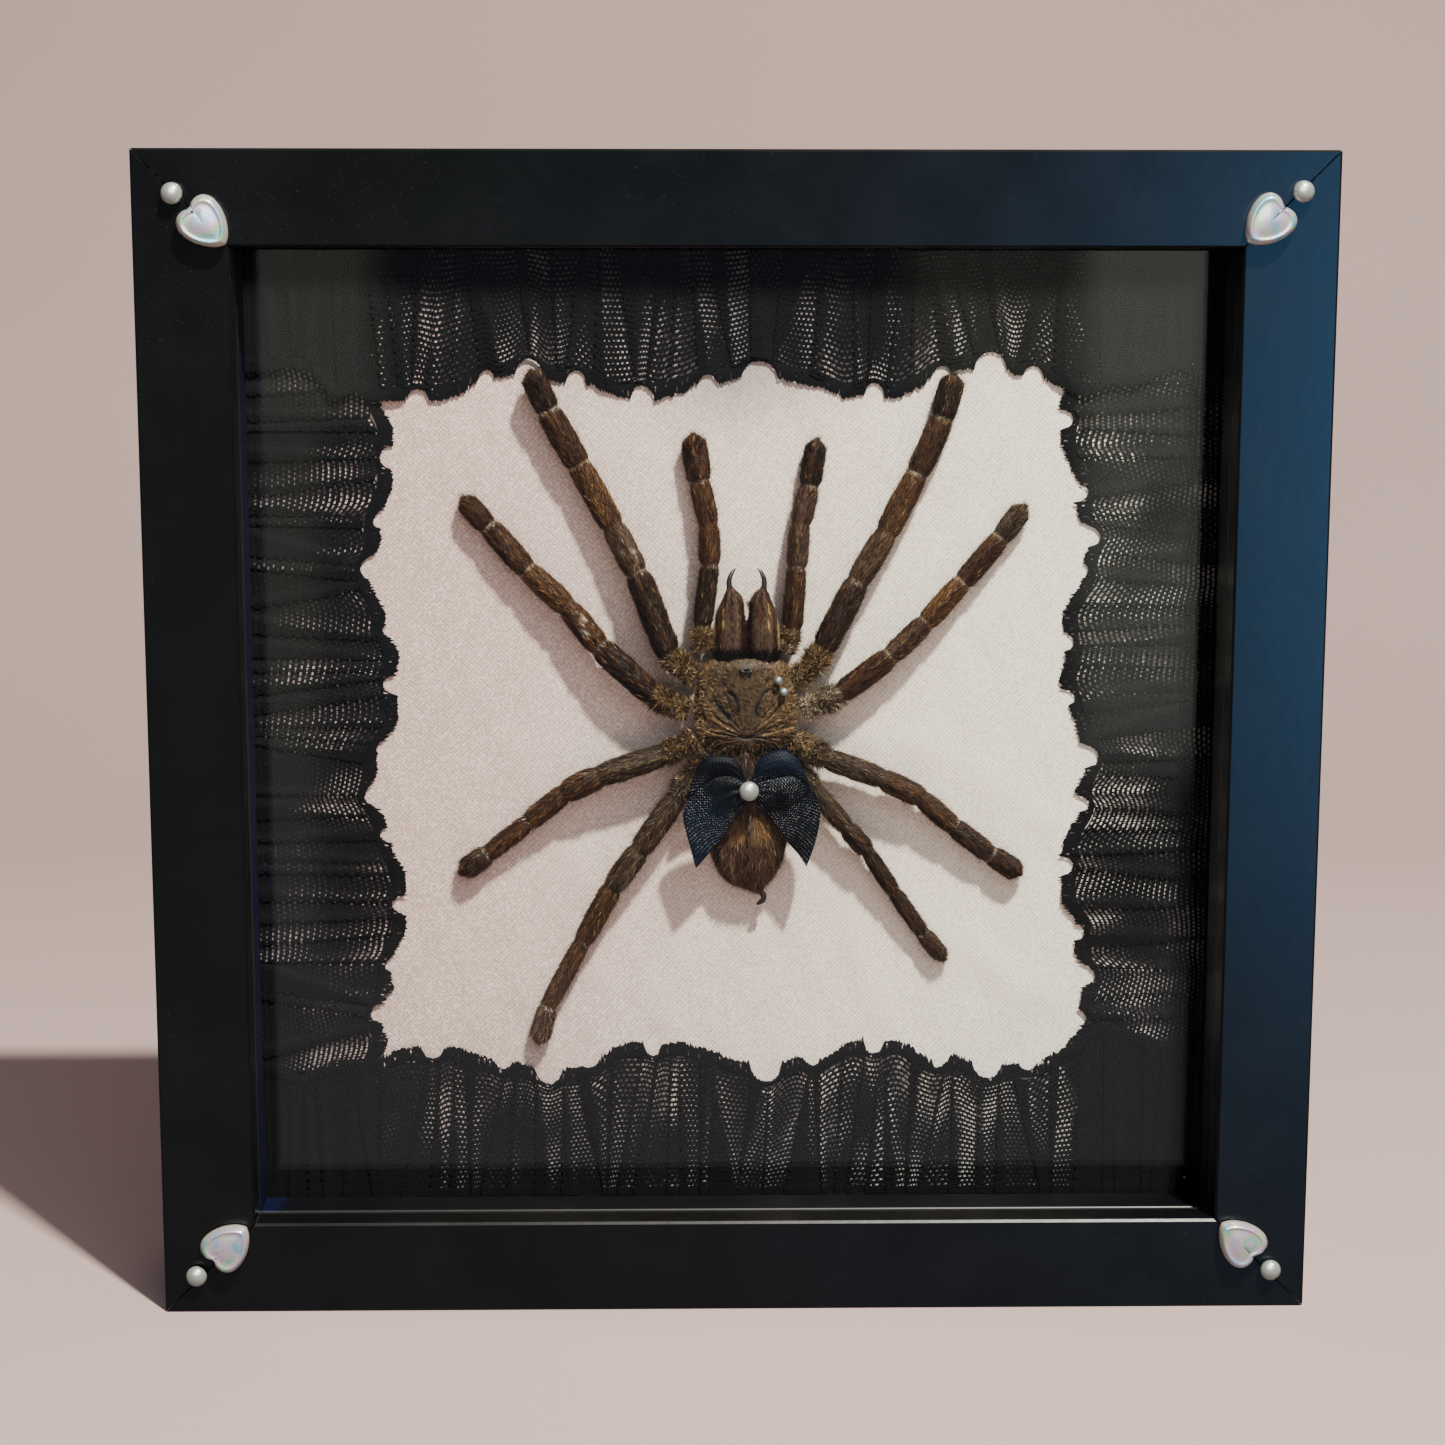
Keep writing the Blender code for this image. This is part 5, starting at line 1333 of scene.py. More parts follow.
# ---------------------------------------------------------------- tarantula body
# slices (z, left x, right x, underside height, rim height, top height)
CARAPACE_SLICES = [(119.6, -2.6, 7.8, 4.6, 5.8, 6.8), (120.8, -6.6, 11.9, 3.8, 5.9, 7.6),
    (123, -8.2, 13.5, 3.3, 6, 8.3), (126.5, -8.5, 13.8, 3, 6.1, 8.9), (130.5, -8.8, 14, 3, 6.2, 9.2),
    (134.5, -8.1, 13.2, 3.2, 6.2, 9.4), (137.3, -7.5, 12.3, 3.5, 6.3, 9.5),
    (138.8, -6.8, 11.6, 3.8, 6.4, 9.3), (139.5, -5.6, 10.4, 4.2, 6.4, 8.9),
    (140.1, -4.4, 9.2, 5, 6.5, 8.1)]
ABDOMEN_SLICES = [(118.9, 1.4, 3.6, 5, 6, 7), (117.2, -0.6, 5.8, 3.4, 5.6, 7.9),
    (113.5, -3, 8.6, 2, 5.3, 8.8), (108.5, -4.7, 10.8, 1.2, 5.1, 9.4), (103, -5.6, 11.9, 0.9, 5, 9.5),
    (98, -5.5, 11.8, 0.9, 4.8, 9.2), (94, -4.6, 10.9, 1.1, 4.6, 8.4), (90.6, -2.8, 9.2, 1.8, 4.5, 7.2),
    (88.3, -0.4, 7.3, 2.8, 4.4, 6), (87.3, 3.8, 6, 3.6, 4.3, 5.1)]
# the middle lines of the hooked spinneret and of the thin strand beside it, as (x, z, height)
SPINNERET = [(5.9, 88, 4.4), (6.2, 86.5, 4.4), (6.9, 85.6, 4.4), (6.7, 84.5, 4.4), (5.3, 83.6, 4.4)]
STRAND = [(1, 88.6, 4.2), (2.4, 87.2, 4), (3.2, 86.9, 3.9), (4.4, 86.6, 4), (5.6, 86.9, 4.3)]
# slices of the left chelicera, with x from its middle
CHELICERA_SLICES = [(141.5, -3.3, 3.9, 3.6, 5.6, 8.4), (145.5, -3.25, 3.95, 3.2, 5.6, 8.9),
    (148, -2.85, 3.8, 3.2, 5.5, 8.85), (149.5, -2.6, 3.4, 3.2, 5.5, 8.7),
    (151.6, -1.95, 3.3, 3.4, 5.3, 8.2), (153.2, -1.25, 3.15, 3.6, 5.2, 7.6),
    (154.2, -0.9, 2.9, 3.9, 5.2, 7), (154.9, -0.5, 2, 4.2, 5.2, 6.5), (155.4, -0.3, 1.3, 4.5, 5.2, 6)]
CHELICERA_MIDDLES = {"left": -1.3, "right": 6.9}
# a fang from its root to its tip: how far in it bends, z and radius
FANG_CURVE = [(0.3, 155.6, 0.7), (0.15, 157, 0.62), (0.35, 158.2, 0.54), (0.9, 159.3, 0.42),
    (1.35, 159.9, 0.27), (1.8, 160.2, 0.08)]
FANG_HEIGHT = 5.2
FOVEA = (2.7, 122.4)
CARAPACE_MIDDLE = 2.65
EYE_MOUND = (2.6, 138.0)
EYE_HEIGHT = 10.45
ABDOMEN_MIDDLE = 3.4
# each eye: x, z and radius
EYES = [(1.75, 137.7, 0.36), (2.35, 138.3, 0.34), (3.1, 138.3, 0.34), (3.65, 137.7, 0.36),
    (2.3, 137.55, 0.24), (3.05, 137.55, 0.24), (1.45, 138.3, 0.24), (3.95, 138.3, 0.24)]
# sunk dark grooves, raised golden ridges and dark spots on the carapace: a line of (x, z), then half width
GROOVES = [([(-1.2, 132.7), (0, 131.9), (0.7, 130.2), (0.9, 128.8), (-0.2, 127.3)], 0.42),
    ([(-2.1, 132.3), (-1.2, 130.5), (-0.6, 128.5)], 0.16),
    ([(-4.6, 131), (-3.4, 129.5), (-2.2, 127.8), (-1.2, 126.6)], 0.45),
    ([(-6.8, 127), (-5.9, 125.6), (-4.4, 124.6)], 0.42),
    ([(-6.8, 122.2), (-3.7, 122.4), (0, 122.4)], 0.16),
    ([(7.6, 133.2), (6.4, 132.2), (5.4, 130.2), (4.7, 129), (5.1, 127.3)], 0.36),
    ([(7, 131.7), (6, 130), (5.5, 128)], 0.14), ([(8.8, 130), (7.8, 128.8), (6.4, 126.8)], 0.2),
    ([(11, 125.6), (9.1, 124.8), (6.9, 124.1), (5.1, 123.4)], 0.26),
    ([(11.7, 122.3), (7.8, 122.3), (4.9, 122.6)], 0.16),
    ([(1, 122.7), (2.7, 122.2), (4.4, 122.9)], 0.36),
    ([(-5.6, 129.2), (-3.7, 126.8), (-1.5, 125.1)], 0.13),
    ([(10.3, 130.2), (9.1, 128.3), (7.3, 126.3)], 0.14)]
RIDGES = [([(-7.6, 131.7), (-5.6, 129.7), (-3.7, 127.5), (-1.5, 125.3), (0.5, 123.6)], 0.2),
    ([(-6.1, 127.3), (-3.7, 125.8), (-1.2, 124.6), (0.5, 123.9)], 0.15),
    ([(-7.3, 124.4), (-4.4, 123.1), (-1.2, 122.6)], 0.15),
    ([(9.8, 128.3), (7.8, 126.8), (5.9, 124.6)], 0.16),
    ([(9.1, 130.2), (6.9, 127), (5.4, 124.8)], 0.13),
    ([(12.7, 124.4), (9.3, 123.6), (5.9, 122.7)], 0.2),
    ([(12.2, 126.8), (9.5, 126.1), (6.9, 124.6)], 0.15),
    ([(-2.2, 131.7), (-1, 129.7), (-0.4, 128.3)], 0.14), ([(6.4, 131.2), (5.8, 129.5)], 0.12),
    ([(6.4, 122.9), (7.3, 122.6)], 0.28)]
SPOTS = [(-2.4, 134.5, 0.62), (-3.3, 134.1, 0.4), (-1.8, 136.6, 0.32), (-2.6, 135.4, 0.25),
    (7.1, 135.4, 0.5), (7.7, 135.8, 0.28), (-1.7, 137.6, 0.26), (-3.4, 137.9, 0.18), (-5.1, 137.5, 0.2),
    (6.9, 137.9, 0.3), (7.8, 137.7, 0.18), (-5.9, 134.6, 0.26), (-6.6, 133.2, 0.34),
    (-6.8, 132.3, 0.28), (2.7, 130.8, 0.2), (2, 126.2, 0.13), (8.3, 133.6, 0.2), (10.3, 132.4, 0.14),
    (10.3, 130.7, 0.14), (9.8, 131.7, 0.13), (4.4, 124.4, 0.2), (1.2, 128.3, 0.14), (0, 134.1, 0.16),
    (-3.7, 135.8, 0.2), (-4.6, 136.6, 0.2), (5.4, 134.1, 0.12)]


def body_rings(slices, step, around, power=1.0):
    """Even rings along a rounded body from its measured slices."""
    slices = np.array(slices)
    order, *measures = (slices if slices[-1, 0] > slices[0, 0] else slices[::-1]).T
    z = np.linspace(order[0], order[-1], int((order[-1] - order[0]) / step))
    left, right, low, rim, top = (eased(np.interp(z, order, column), 0.9 / step) for column in measures)
    turn = np.linspace(0, tau, around, endpoint=False)
    wide = np.cos(turn)
    rise = np.sign(np.sin(turn)) * abs(np.sin(turn)) ** power
    x = ((left + right) / 2)[:, None] + ((right - left) / 2)[:, None] * wide
    height = rim[:, None] + np.where(rise > 0, (top - rim)[:, None] * rise, (rim - low)[:, None] * rise)
    return x, np.repeat(z[:, None], around, axis=1), height, rise


def carapace_marks(x, z):
    """How deep a groove, how high a ridge and how dark a spot there is at each point."""
    groove = np.zeros_like(x)
    for line, half in GROOVES:
        deep = 1.0 if np.mean(line, axis=0)[1] > 127 else 0.5
        groove = np.maximum(groove, deep * np.exp(-(distance_to_line(x, z, line) / half) ** 2))
    ridge = np.zeros_like(x)
    for line, half in RIDGES:
        ridge = np.maximum(ridge, 0.55 * np.exp(-(distance_to_line(x, z, line) / half) ** 2))
    spot = np.zeros_like(x)
    for sx, sz, half in SPOTS:
        spot = np.maximum(spot, np.exp(-(((x - sx) ** 2 + (z - sz) ** 2) / half ** 2)))
    return groove, ridge, spot


def carapace_coats(x, z, rim_share):
    """Which coat grows where on the carapace."""
    groove, ridge, spot = carapace_marks(x, z)
    cloud = waviness(x * 1.3, z * 1.3, 9)
    off = abs(x - FOVEA[0])
    return last_of(x.shape, "brow", [
        ((off > 3.6) & (cloud > -0.5), "cheek"), (cloud < -0.85, "brown"), ((z < 123) & (off < 5), "plum"),
        ((rim_share > 0.975) | (ridge > 0.35), "gilt"), ((groove > 0.3) | (spot > 0.3), "black")])


def carapace_tone(x, z, rim_share, fan):
    """The carapace's own colours: olive brown head, golden cheeks, mottled, with rays from the pit."""
    groove, ridge, spot = carapace_marks(x, z)
    far = np.hypot(x - FOVEA[0], z - FOVEA[1])
    cheek = smoothly(abs(x - 2.7 + 0.8 * waviness(x * 0.8, z * 0.8, 3)), 3.4, 6.0)
    left = np.exp(-(((x + 2.0) / 2.2) ** 2 + ((z - 130.6) / 2.6) ** 2))
    grain = waviness(x * 4.2, z * 4.2, 17, 9) + 0.7 * waviness(x * 8.5, z * 8.5, 18, 9)
    mottle = 0.35 + 0.65 * cheek
    rays = smoothly(far, 0.6, 1.6) * (1 - smoothly(far, 5.5, 9.0))
    rays = rays * (0.35 + 0.65 * smoothly(126.5 - z, -2, 3))
    tone = np.broadcast_to(shade(76, 60, 35), (*x.shape, 3))
    for share, colour in (
            (cheek, (84, 65, 35)), (cheek * smoothly(x, 6, 10) * 0.8, (100, 76, 43)),
            (left * 1.1, (52, 44, 25)), (smoothly(124.5 - z, 0, 3.5) * 0.7, (74, 58, 46)),
            (smoothly(grain, 0.3, 1.2) * 0.85 * mottle, (36, 22, 12)),
            (smoothly(-grain, 0.4, 1.3) * 0.7 * mottle, (142, 104, 56)),
            (np.clip(fan, 0, 1) * rays * 0.55, (128, 102, 74)),
            (np.clip(-fan, 0, 1) * rays * 0.75, (36, 24, 18)),
            (smoothly(rim_share, 0.9, 0.985) * 0.9, (124, 90, 52)), (ridge * 0.9, (132, 100, 60)),
            (groove * 1.05, (20, 12, 8)), (spot * 1.3, (12, 7, 5))):
        share = np.clip(share, 0, 1)[..., None]
        tone = tone * (1 - share) + shade(*colour) * share
    return tone * 0.7


def always(way):
    """One way for all hairs to lie."""
    return lambda base: np.tile(np.array(way, dtype=float), (len(base), 1))


def towards_rear(middle, spread):
    """A way for hairs to lie: to the rear, and outwards by their distance from the middle."""
    def way(base):
        aside = (base[:, 0] / MM - middle) * spread
        lie = np.stack([aside, np.zeros(len(base)), np.full(len(base), -1.0)], -1)
        return lie / np.linalg.norm(lie, axis=1, keepdims=True)
    return way


def grow_carapace(skin_finish, hair_finishes):
    """The back plate: a raised head part, furrows that run out from the middle pit, and a thin gold rim."""
    x, z, height, rise = body_rings(CARAPACE_SLICES, 0.16, 190, 0.8)
    groove, ridge, spot = carapace_marks(x, z)
    up = smoothly(rise, 0.12, 0.5)
    head = np.exp(-((x - CARAPACE_MIDDLE) / 3.6) ** 4) * smoothly(z, 124, 129)
    pit = np.exp(-(((x - FOVEA[0]) / 1.5) ** 2 + ((z - FOVEA[1]) / 0.5) ** 2))
    turn = np.arctan2(x - FOVEA[0], z - FOVEA[1])
    far = np.hypot(x - FOVEA[0], z - FOVEA[1])
    fan = np.sin(turn * 23 + 1.5 * waviness(x * 0.5, z * 0.5, 4))
    fan = fan + 0.5 * np.sin(turn * 41 + 2 * waviness(x, z, 5))
    grain = waviness(x * 4.2, z * 4.2, 17, 9)
    cheek = smoothly(abs(x - CARAPACE_MIDDLE), 2, 5)
    near_pit = smoothly(8 - far, 0, 6)
    height = height + up * (0.4 * head - 0.36 * groove + 0.16 * ridge - 0.25 * spot - 0.3 * pit
                            + (0.04 + 0.08 * near_pit) * fan * smoothly(far, 0.5, 2)
                            + 0.05 * waviness(x * 1.2, z * 1.2, 8) - 0.05 * grain * cheek)
    mound = np.exp(-(((x - EYE_MOUND[0]) / 1.7) ** 2 + ((z - EYE_MOUND[1]) / 0.95) ** 2))
    height = height + up * 0.55 * mound
    rings = placed(x, z, height)
    rim_share = abs(np.cos(np.linspace(0, tau, x.shape[1], endpoint=False)))[None, :] * np.ones_like(x)
    rim_share = np.maximum(rim_share, smoothly(z, 140.05, 140.3))
    skin = Skin(rings, carapace_coats(x, z, rim_share))
    piece = skin.made("carapace_shell", skin_finish, slot="golden_hair")
    tone = carapace_tone(x, z, rim_share, fan)
    tone = tone + mound[..., None] * 0.8 * (shade(34, 22, 14) - tone)
    repaint(piece, tone)
    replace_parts(piece, "carapace")

    hairs = Hairs("carapace_hair", 61)

    def outward(base):
        way = np.stack([base[:, 0] / MM - FOVEA[0], np.zeros(len(base)), base[:, 2] / MM - FOVEA[1]], -1)
        return way / (np.linalg.norm(way, axis=1, keepdims=True) + 1e-9)

    def clear_of_eyes(base):
        bare = ((base[:, 0] / MM - EYE_MOUND[0]) / 2) ** 2 + ((base[:, 2] / MM - EYE_MOUND[1]) / 1.1) ** 2
        return smoothly(bare, 0.5, 1.1)

    skin.plant(hairs, 15000, 0.9, 0.12, 0.1, 0.3, None, clear_of_eyes, way=outward)
    skin.plant(hairs, 2600, 1.2, 0.1, 0.35, 0.5, 0.2, clear_of_eyes, way=outward)

    def rear(base):
        return smoothly(121.4 - base[:, 2] / MM, 0, 0.8) * (base[:, 1] < 0.0125)

    behind = towards_rear(FOVEA[0], 0.12)
    skin.plant(hairs, 38000, 3.4, 0.14, 0.12, 0.35, -0.25, rear, all_in("smoke"), behind)
    skin.plant(hairs, 14000, 2.6, 0.13, 0.2, 0.5, -0.2, rear, all_in("bronze"), behind)

    def at_rim(base):
        off = abs(base[:, 0] / MM - CARAPACE_MIDDLE)
        return smoothly(off, 7.5, 9.5) + (base[:, 2] / MM < 121.5) * 0.6

    skin.plant(hairs, 5000, 1.2, 0.08, 0.25, 0.9, 0.3, at_rim, all_in("curl"), outward)
    skin.plant(hairs, 14000, 1.9, 0.15, 0.0, 0.4, -0.3, at_rim, all_in("bronze"), outward)
    hairs.grow(hair_finishes)


def set_eyes(finish):
    """Eight small black eyes, close together on their mound."""
    beads = []
    for x, z, radius in EYES:
        bpy.ops.mesh.primitive_uv_sphere_add(segments=14, ring_count=8, radius=radius * MM,
                                             location=place(x, z, EYE_HEIGHT))
        bead = bpy.context.object
        bead.scale = (1, 0.85, 1)
        bead.data.shade_smooth()
        beads.append(bead)
    joined(beads, "eyes", finish)


def joined(pieces, name, finish):
    """Several new pieces made one, at the origin, and given their finish."""
    bpy.ops.object.select_all(action="DESELECT")
    for piece in pieces:
        piece.select_set(True)
    bpy.context.view_layer.objects.active = pieces[0]
    bpy.ops.object.transform_apply(location=True, rotation=True, scale=True)
    if len(pieces) > 1:
        bpy.ops.object.join()
    made = bpy.context.object
    made.name = name
    made.data.name = name
    made.data.materials.clear()
    made.data.materials.append(finish)
    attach(made, BODY)
    bpy.ops.object.select_all(action="DESELECT")
    return made


def abdomen_coats(x, z):
    """Hazel with two amber patches beside a dark line, russet above, plum below and bronze at the sides."""
    cloud = waviness(x * 0.9, z * 0.5, 12)
    left = ((x - 0.7) / 2.0) ** 2 + ((z - 101.6) / 3.4) ** 2
    right = ((x - 6.4) / 2.1) ** 2 + ((z - 102.2) / 3.6) ** 2
    upper = ((x - 3.2) / 2.6) ** 2 + ((z - 106.4) / 2.4) ** 2
    line = (abs(x - ABDOMEN_MIDDLE) < 0.35 + 0.15 * cloud) & (z > 94) & (z < 106)
    return last_of(x.shape, "hazel", [
        (cloud > 0.5, "brown"), (z < 98.5 + cloud, "plum"), (abs(x - 3.6) > 5.8, "bronze"),
        (upper < 1, "russet"), (z > 111, "dark"), (np.minimum(left, right) + 0.25 * cloud < 1, "amber"),
        (line, "dark")])


def grow_abdomen(skin_finish, hair_finishes):
    """The abdomen, with a lightly wrinkled skin and long hair that lies to the rear."""
    x, z, height, rise = body_rings(ABDOMEN_SLICES, 0.4, 72)
    wrinkles = waviness(x * 2.2, z * 0.35, 15) * 0.12 + waviness(x * 0.7, z * 1.6, 16) * 0.08
    height = height + wrinkles * (rise > 0)
    skin = Skin(placed(x, z, height), abdomen_coats(x, z))
    skin.streak = skin.streak * 0.4
    piece = skin.made("abdomen_skin", skin_finish)
    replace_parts(piece, "abdomen")
    hairs = Hairs("abdomen_hair", 62)

    downward = towards_rear(ABDOMEN_MIDDLE, 0.06)
    skin.plant(hairs, 26000, 1.9, 0.12, 0.14, 0.2, way=downward)
    skin.plant(hairs, 1300, 2.6, 0.07, 0.16, 0.16, coats=all_in("grey"), way=downward)
    skin.plant(hairs, 5000, 2.2, 0.07, 0.42, 0.5, 0.1, way=downward)
    hairs.grow(hair_finishes)


def tube(path, radii, around):
    """Rings round a path, the path's points in metres."""
    tangent = np.gradient(path, axis=0)
    tangent /= np.linalg.norm(tangent, axis=1, keepdims=True)
    side = np.cross(tangent, np.array([0, -1.0, 0]))
    side /= np.linalg.norm(side, axis=1, keepdims=True)
    lift = np.cross(side, tangent)
    turn = np.linspace(0, tau, around, endpoint=False)
    radii = np.asarray(radii)[:, None, None]
    return (path[:, None, :] + side[:, None, :] * np.cos(turn)[None, :, None] * radii
            + lift[:, None, :] * np.sin(turn)[None, :, None] * radii)


def grow_spinneret(skin_finish):
    """The hooked spinneret below the abdomen, with a thin dried strand beside it."""
    girth = np.interp(np.linspace(0, 1, 14), [0, 0.25, 0.5, 0.8, 1], [0.8, 0.72, 0.68, 0.6, 0.3])
    for name, path, radii, around in (("spinneret", SPINNERET, girth, 12),
                                      ("spinneret_strand", STRAND, np.full(16, 0.13), 6)):
        spine = resampled(path, len(radii))
        skin = Skin(tube(placed(*spine.T), radii * MM, around), np.full((len(radii), around), coat("dark")))
        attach(skin.made(name, skin_finish), BODY)


def chelicera_coats(x, z):
    """Coats of one chelicera, with x from its middle, outward negative."""
    return last_of(x.shape, "hazel", [
        (waviness(x * 2.6, z * 0.35, 21) > 0.5, "brown"),
        ((abs(x + 1.7 + (149 - z) * 0.05) < 0.15) & (z < 147), "dark"),
        ((abs(x + 1.05) < 0.14) & (z > 146) & (z < 151.5), "gilt"),
        (np.hypot(x - 0.9, (z - 152) * 0.6) < 0.45, "dark"), ((x > 2.9) & (z < 152), "wine"),
        ((x < -2.8) & (z < 150), "gilt"), (z < 141.6, "black")])


def grow_chelicerae(skin_finish, hair_finishes, horn):
    """Both chelicerae, each with two shallow furrows along it, and their fangs."""
    for number, (side, middle) in enumerate(CHELICERA_MIDDLES.items()):
        mirror = 1 if side == "left" else -1
        slices = []
        for up, left, right, *heights in CHELICERA_SLICES:
            sides = sorted((left * mirror, right * mirror))
            slices.append((up, sides[0] + middle, sides[1] + middle, *heights))
        slices.insert(0, (138.6, *slices[0][1:]))
        x, z, height, rise = body_rings(slices, 0.3, 44, 0.85)
        off = (x - middle) * mirror
        furrow = np.exp(-((off + 1.7) / 0.35) ** 2) * smoothly(149.5 - z, 0, 1)
        furrow = furrow + 0.5 * np.exp(-((off + 1.0) / 0.3) ** 2)
        height = height - 0.28 * furrow * (rise > 0.2) + 0.08 * waviness(off * 2.4, z * 0.5, 30 + number)
        skin = Skin(placed(x, z, height), chelicera_coats(off, z))
        piece = skin.made(f"chelicera_{side}_skin", skin_finish)
        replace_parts(piece, f"chelicera_{side}")
        hairs = Hairs(f"chelicera_{side}_hair", 70 + number)

        def outer_edge(base):
            return smoothly(-(base[:, 0] / MM - middle) * mirror, 2.6, 3.2)

        def inner_edge(base):
            return smoothly((base[:, 0] / MM - middle) * mirror, 2.8, 3.3)

        def at_base(base):
            return 1 - smoothly(base[:, 2] / MM, 141.0, 142.0)

        forward = always((0, 0, 1))
        inward = always((mirror / 1.22, 0, 0.7 / 1.22))
        skin.plant(hairs, 7500, 1.4, 0.12, 0.13, 0.14, way=forward)
        skin.plant(hairs, 2600, 1.5, 0.08, 0.28, 0.25, 0.2, outer_edge, all_in("gilt"), forward)
        skin.plant(hairs, 7000, 1.5, 0.11, 0.3, 0.5, -0.2, inner_edge, all_in("wine"), inward)
        skin.plant(hairs, 7000, 1.9, 0.11, 0.4, 0.3, None, at_base, all_in("black"), forward)
        hairs.grow(hair_finishes)

        curve = resampled([(middle + across * mirror, up, girth) for across, up, girth in FANG_CURVE], 22)
        fang = Skin(tube(placed(curve[:, 0], curve[:, 1], FANG_HEIGHT), curve[:, 2] * MM, 16),
                    np.full((22, 16), coat("black")))
        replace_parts(fang.made(f"fang_{side}_horn", horn, slot="fang_black"), f"fang_{side}")


# ---------------------------------------------------------------- ribbon bow
# each fold of the ribbon: its two edges from the knot outwards as (x, z), the heights of the first edge,
# the second edge and the crown between them along the fold, and how deep its creases are at the knot
BOW_FOLDS = {
    "left_back": (
        [(2.6, 113.2), (1.4, 116.9), (-0.6, 118.8), (-4, 119.1), (-6.4, 118.8), (-8.1, 117),
         (-9.3, 113.8), (-10.2, 110.6)],
        [(2.4, 112.4), (0.4, 113.6), (-1.6, 114.3), (-3.4, 114), (-5.2, 113.2), (-6.8, 111.9),
         (-8, 110.6), (-9.6, 109.6)],
        [(11.6, 11.6, 0.5), (11.6, 11, 1.2), (11, 10.4, 1.5), (10.4, 10.6, 0.5)], 0.3),
    "left_front": (
        [(2.3, 113.2), (-0.6, 114.6), (-2.9, 114.7), (-5.2, 113.9), (-7.4, 112.2), (-9.4, 110),
         (-10.7, 108.3), (-11.7, 106), (-11.2, 102.9), (-10.3, 99.6), (-9.4, 96.2), (-8.6, 93.2)],
        [(3.3, 109), (1.6, 106.2), (0.6, 104.9), (-0.6, 103.3), (-1.6, 101.8), (-2.5, 100.3),
         (-3.5, 99.2), (-4.4, 98.2), (-5.3, 97.2), (-6.2, 96.1), (-7.4, 94.6), (-8.6, 93.2)],
        [(12.4, 11.8, 0.3), (12.9, 11.4, 1.1), (12.4, 11.2, 1), (11.4, 11, 0.6), (10.9, 10.9, 0.35),
         (10.6, 10.6, 0)], 0.35),
    "right_tail": (
        [(4.8, 111), (8.6, 110.8), (13, 111.4), (17.4, 111.9), (18.7, 109), (19.4, 105.9), (19, 102.6),
         (18.1, 98.5), (17.2, 96), (16.25, 93.5)],
        [(3.8, 109), (5.2, 107.4), (7.4, 105.1), (9.2, 103.1), (10.5, 101.3), (11.6, 99.5), (12.9, 98),
         (14.1, 96.7), (15.2, 95.1), (16.25, 93.5)],
        [(10.8, 10.6, 0.2), (10.7, 10.5, 0.5), (10.6, 10.4, 0.6), (10.3, 10.3, 0)], 0.2),
    "right_back": (
        [(4.2, 113.4), (4.4, 116.4), (5.6, 118.5), (7.4, 119.6), (9.7, 120.3), (11.5, 120.3),
         (13.7, 118.9), (15.2, 116.5), (16.4, 113.6), (17.2, 111.8)],
        [(4.6, 112.4), (5.4, 112.9), (6.6, 113.3), (8.2, 113.5), (10, 113.6), (11.8, 113.8),
         (13.6, 113.7), (15, 113), (16, 112.2), (16.8, 111.2)],
        [(11.6, 11.8, 0.4), (11.2, 11.4, 1.3), (11, 11.2, 1.7), (11, 11.4, 1), (10.7, 10.8, 0.3)], 0.25),
    "right_front": (
        [(4.6, 112.6), (6.6, 113.5), (9.2, 114), (11.8, 114.5), (14, 114.3), (15.8, 112.9), (17, 111.4)],
        [(4.4, 109.7), (6, 108.5), (8, 107.7), (10.2, 107.3), (12.4, 107.5), (14.6, 108.5),
         (16.5, 110.2)],
        [(12.3, 12, 0.3), (12.3, 11.6, 1.2), (12, 11.4, 1.3), (11.4, 11.2, 0.7), (11, 11, 0.15)], 0.4)}
BOW_ROWS, BOW_COLUMNS = 60, 32
RIBBON_THICKNESS = 0.22
KNOT = (3.4, 110.9, 11.3)


def ribbon_fold(name, number):
    """One fold of the ribbon between its two edges, crowned, with creases that fade out from the knot."""
    first, second, heights, crease = BOW_FOLDS[name]
    first, second = (eased(resampled(edge, BOW_ROWS), 2.2) for edge in (first, second))
    along = np.linspace(0, 1, BOW_ROWS)
    stops = np.linspace(0, 1, len(heights))
    near, far, crown = (eased(np.interp(along, stops, column), 4) for column in zip(*heights))
    share = np.linspace(0, 1, BOW_COLUMNS)[None, :]
    x = first[:, :1] * (1 - share) + second[:, :1] * share
    z = first[:, 1:] * (1 - share) + second[:, 1:] * share
    bulge = np.sin(pi * share) ** 0.7
    height = near[:, None] * (1 - share) + far[:, None] * share + crown[:, None] * bulge
    fan = np.sin(share * 26 + number * 2 + 1.4 * np.sin(share * 9 + number))
    height = height + crease * fan * np.exp(-along / 0.2)[:, None] * bulge
    height = height + 0.1 * waviness(x * 0.5, z * 0.5, 80 + number) * bulge
    width = np.linalg.norm(first - second, axis=1)
    steps = np.linalg.norm(np.diff((first + second) / 2, axis=0), axis=1)
    length = np.concatenate([[0], np.cumsum(steps)])
    return placed(x, z, height), width[:, None] * share, np.repeat(length[:, None], BOW_COLUMNS, axis=1)


def knot_band():
    """The short band round the middle, pinched to a roll."""
    turn = np.linspace(0, tau, 40, endpoint=False)[None, :]
    spot = np.linspace(-1, 1, 13)[:, None]
    swell = 1 - 0.35 * spot * spot
    x = KNOT[0] + 1.75 * np.cos(turn) * swell
    height = KNOT[2] + 1.45 * np.sin(turn) * swell + 0.08 * np.sin(turn * 5 + spot * 2)
    return placed(x, KNOT[1] + spot * 2.5, height)


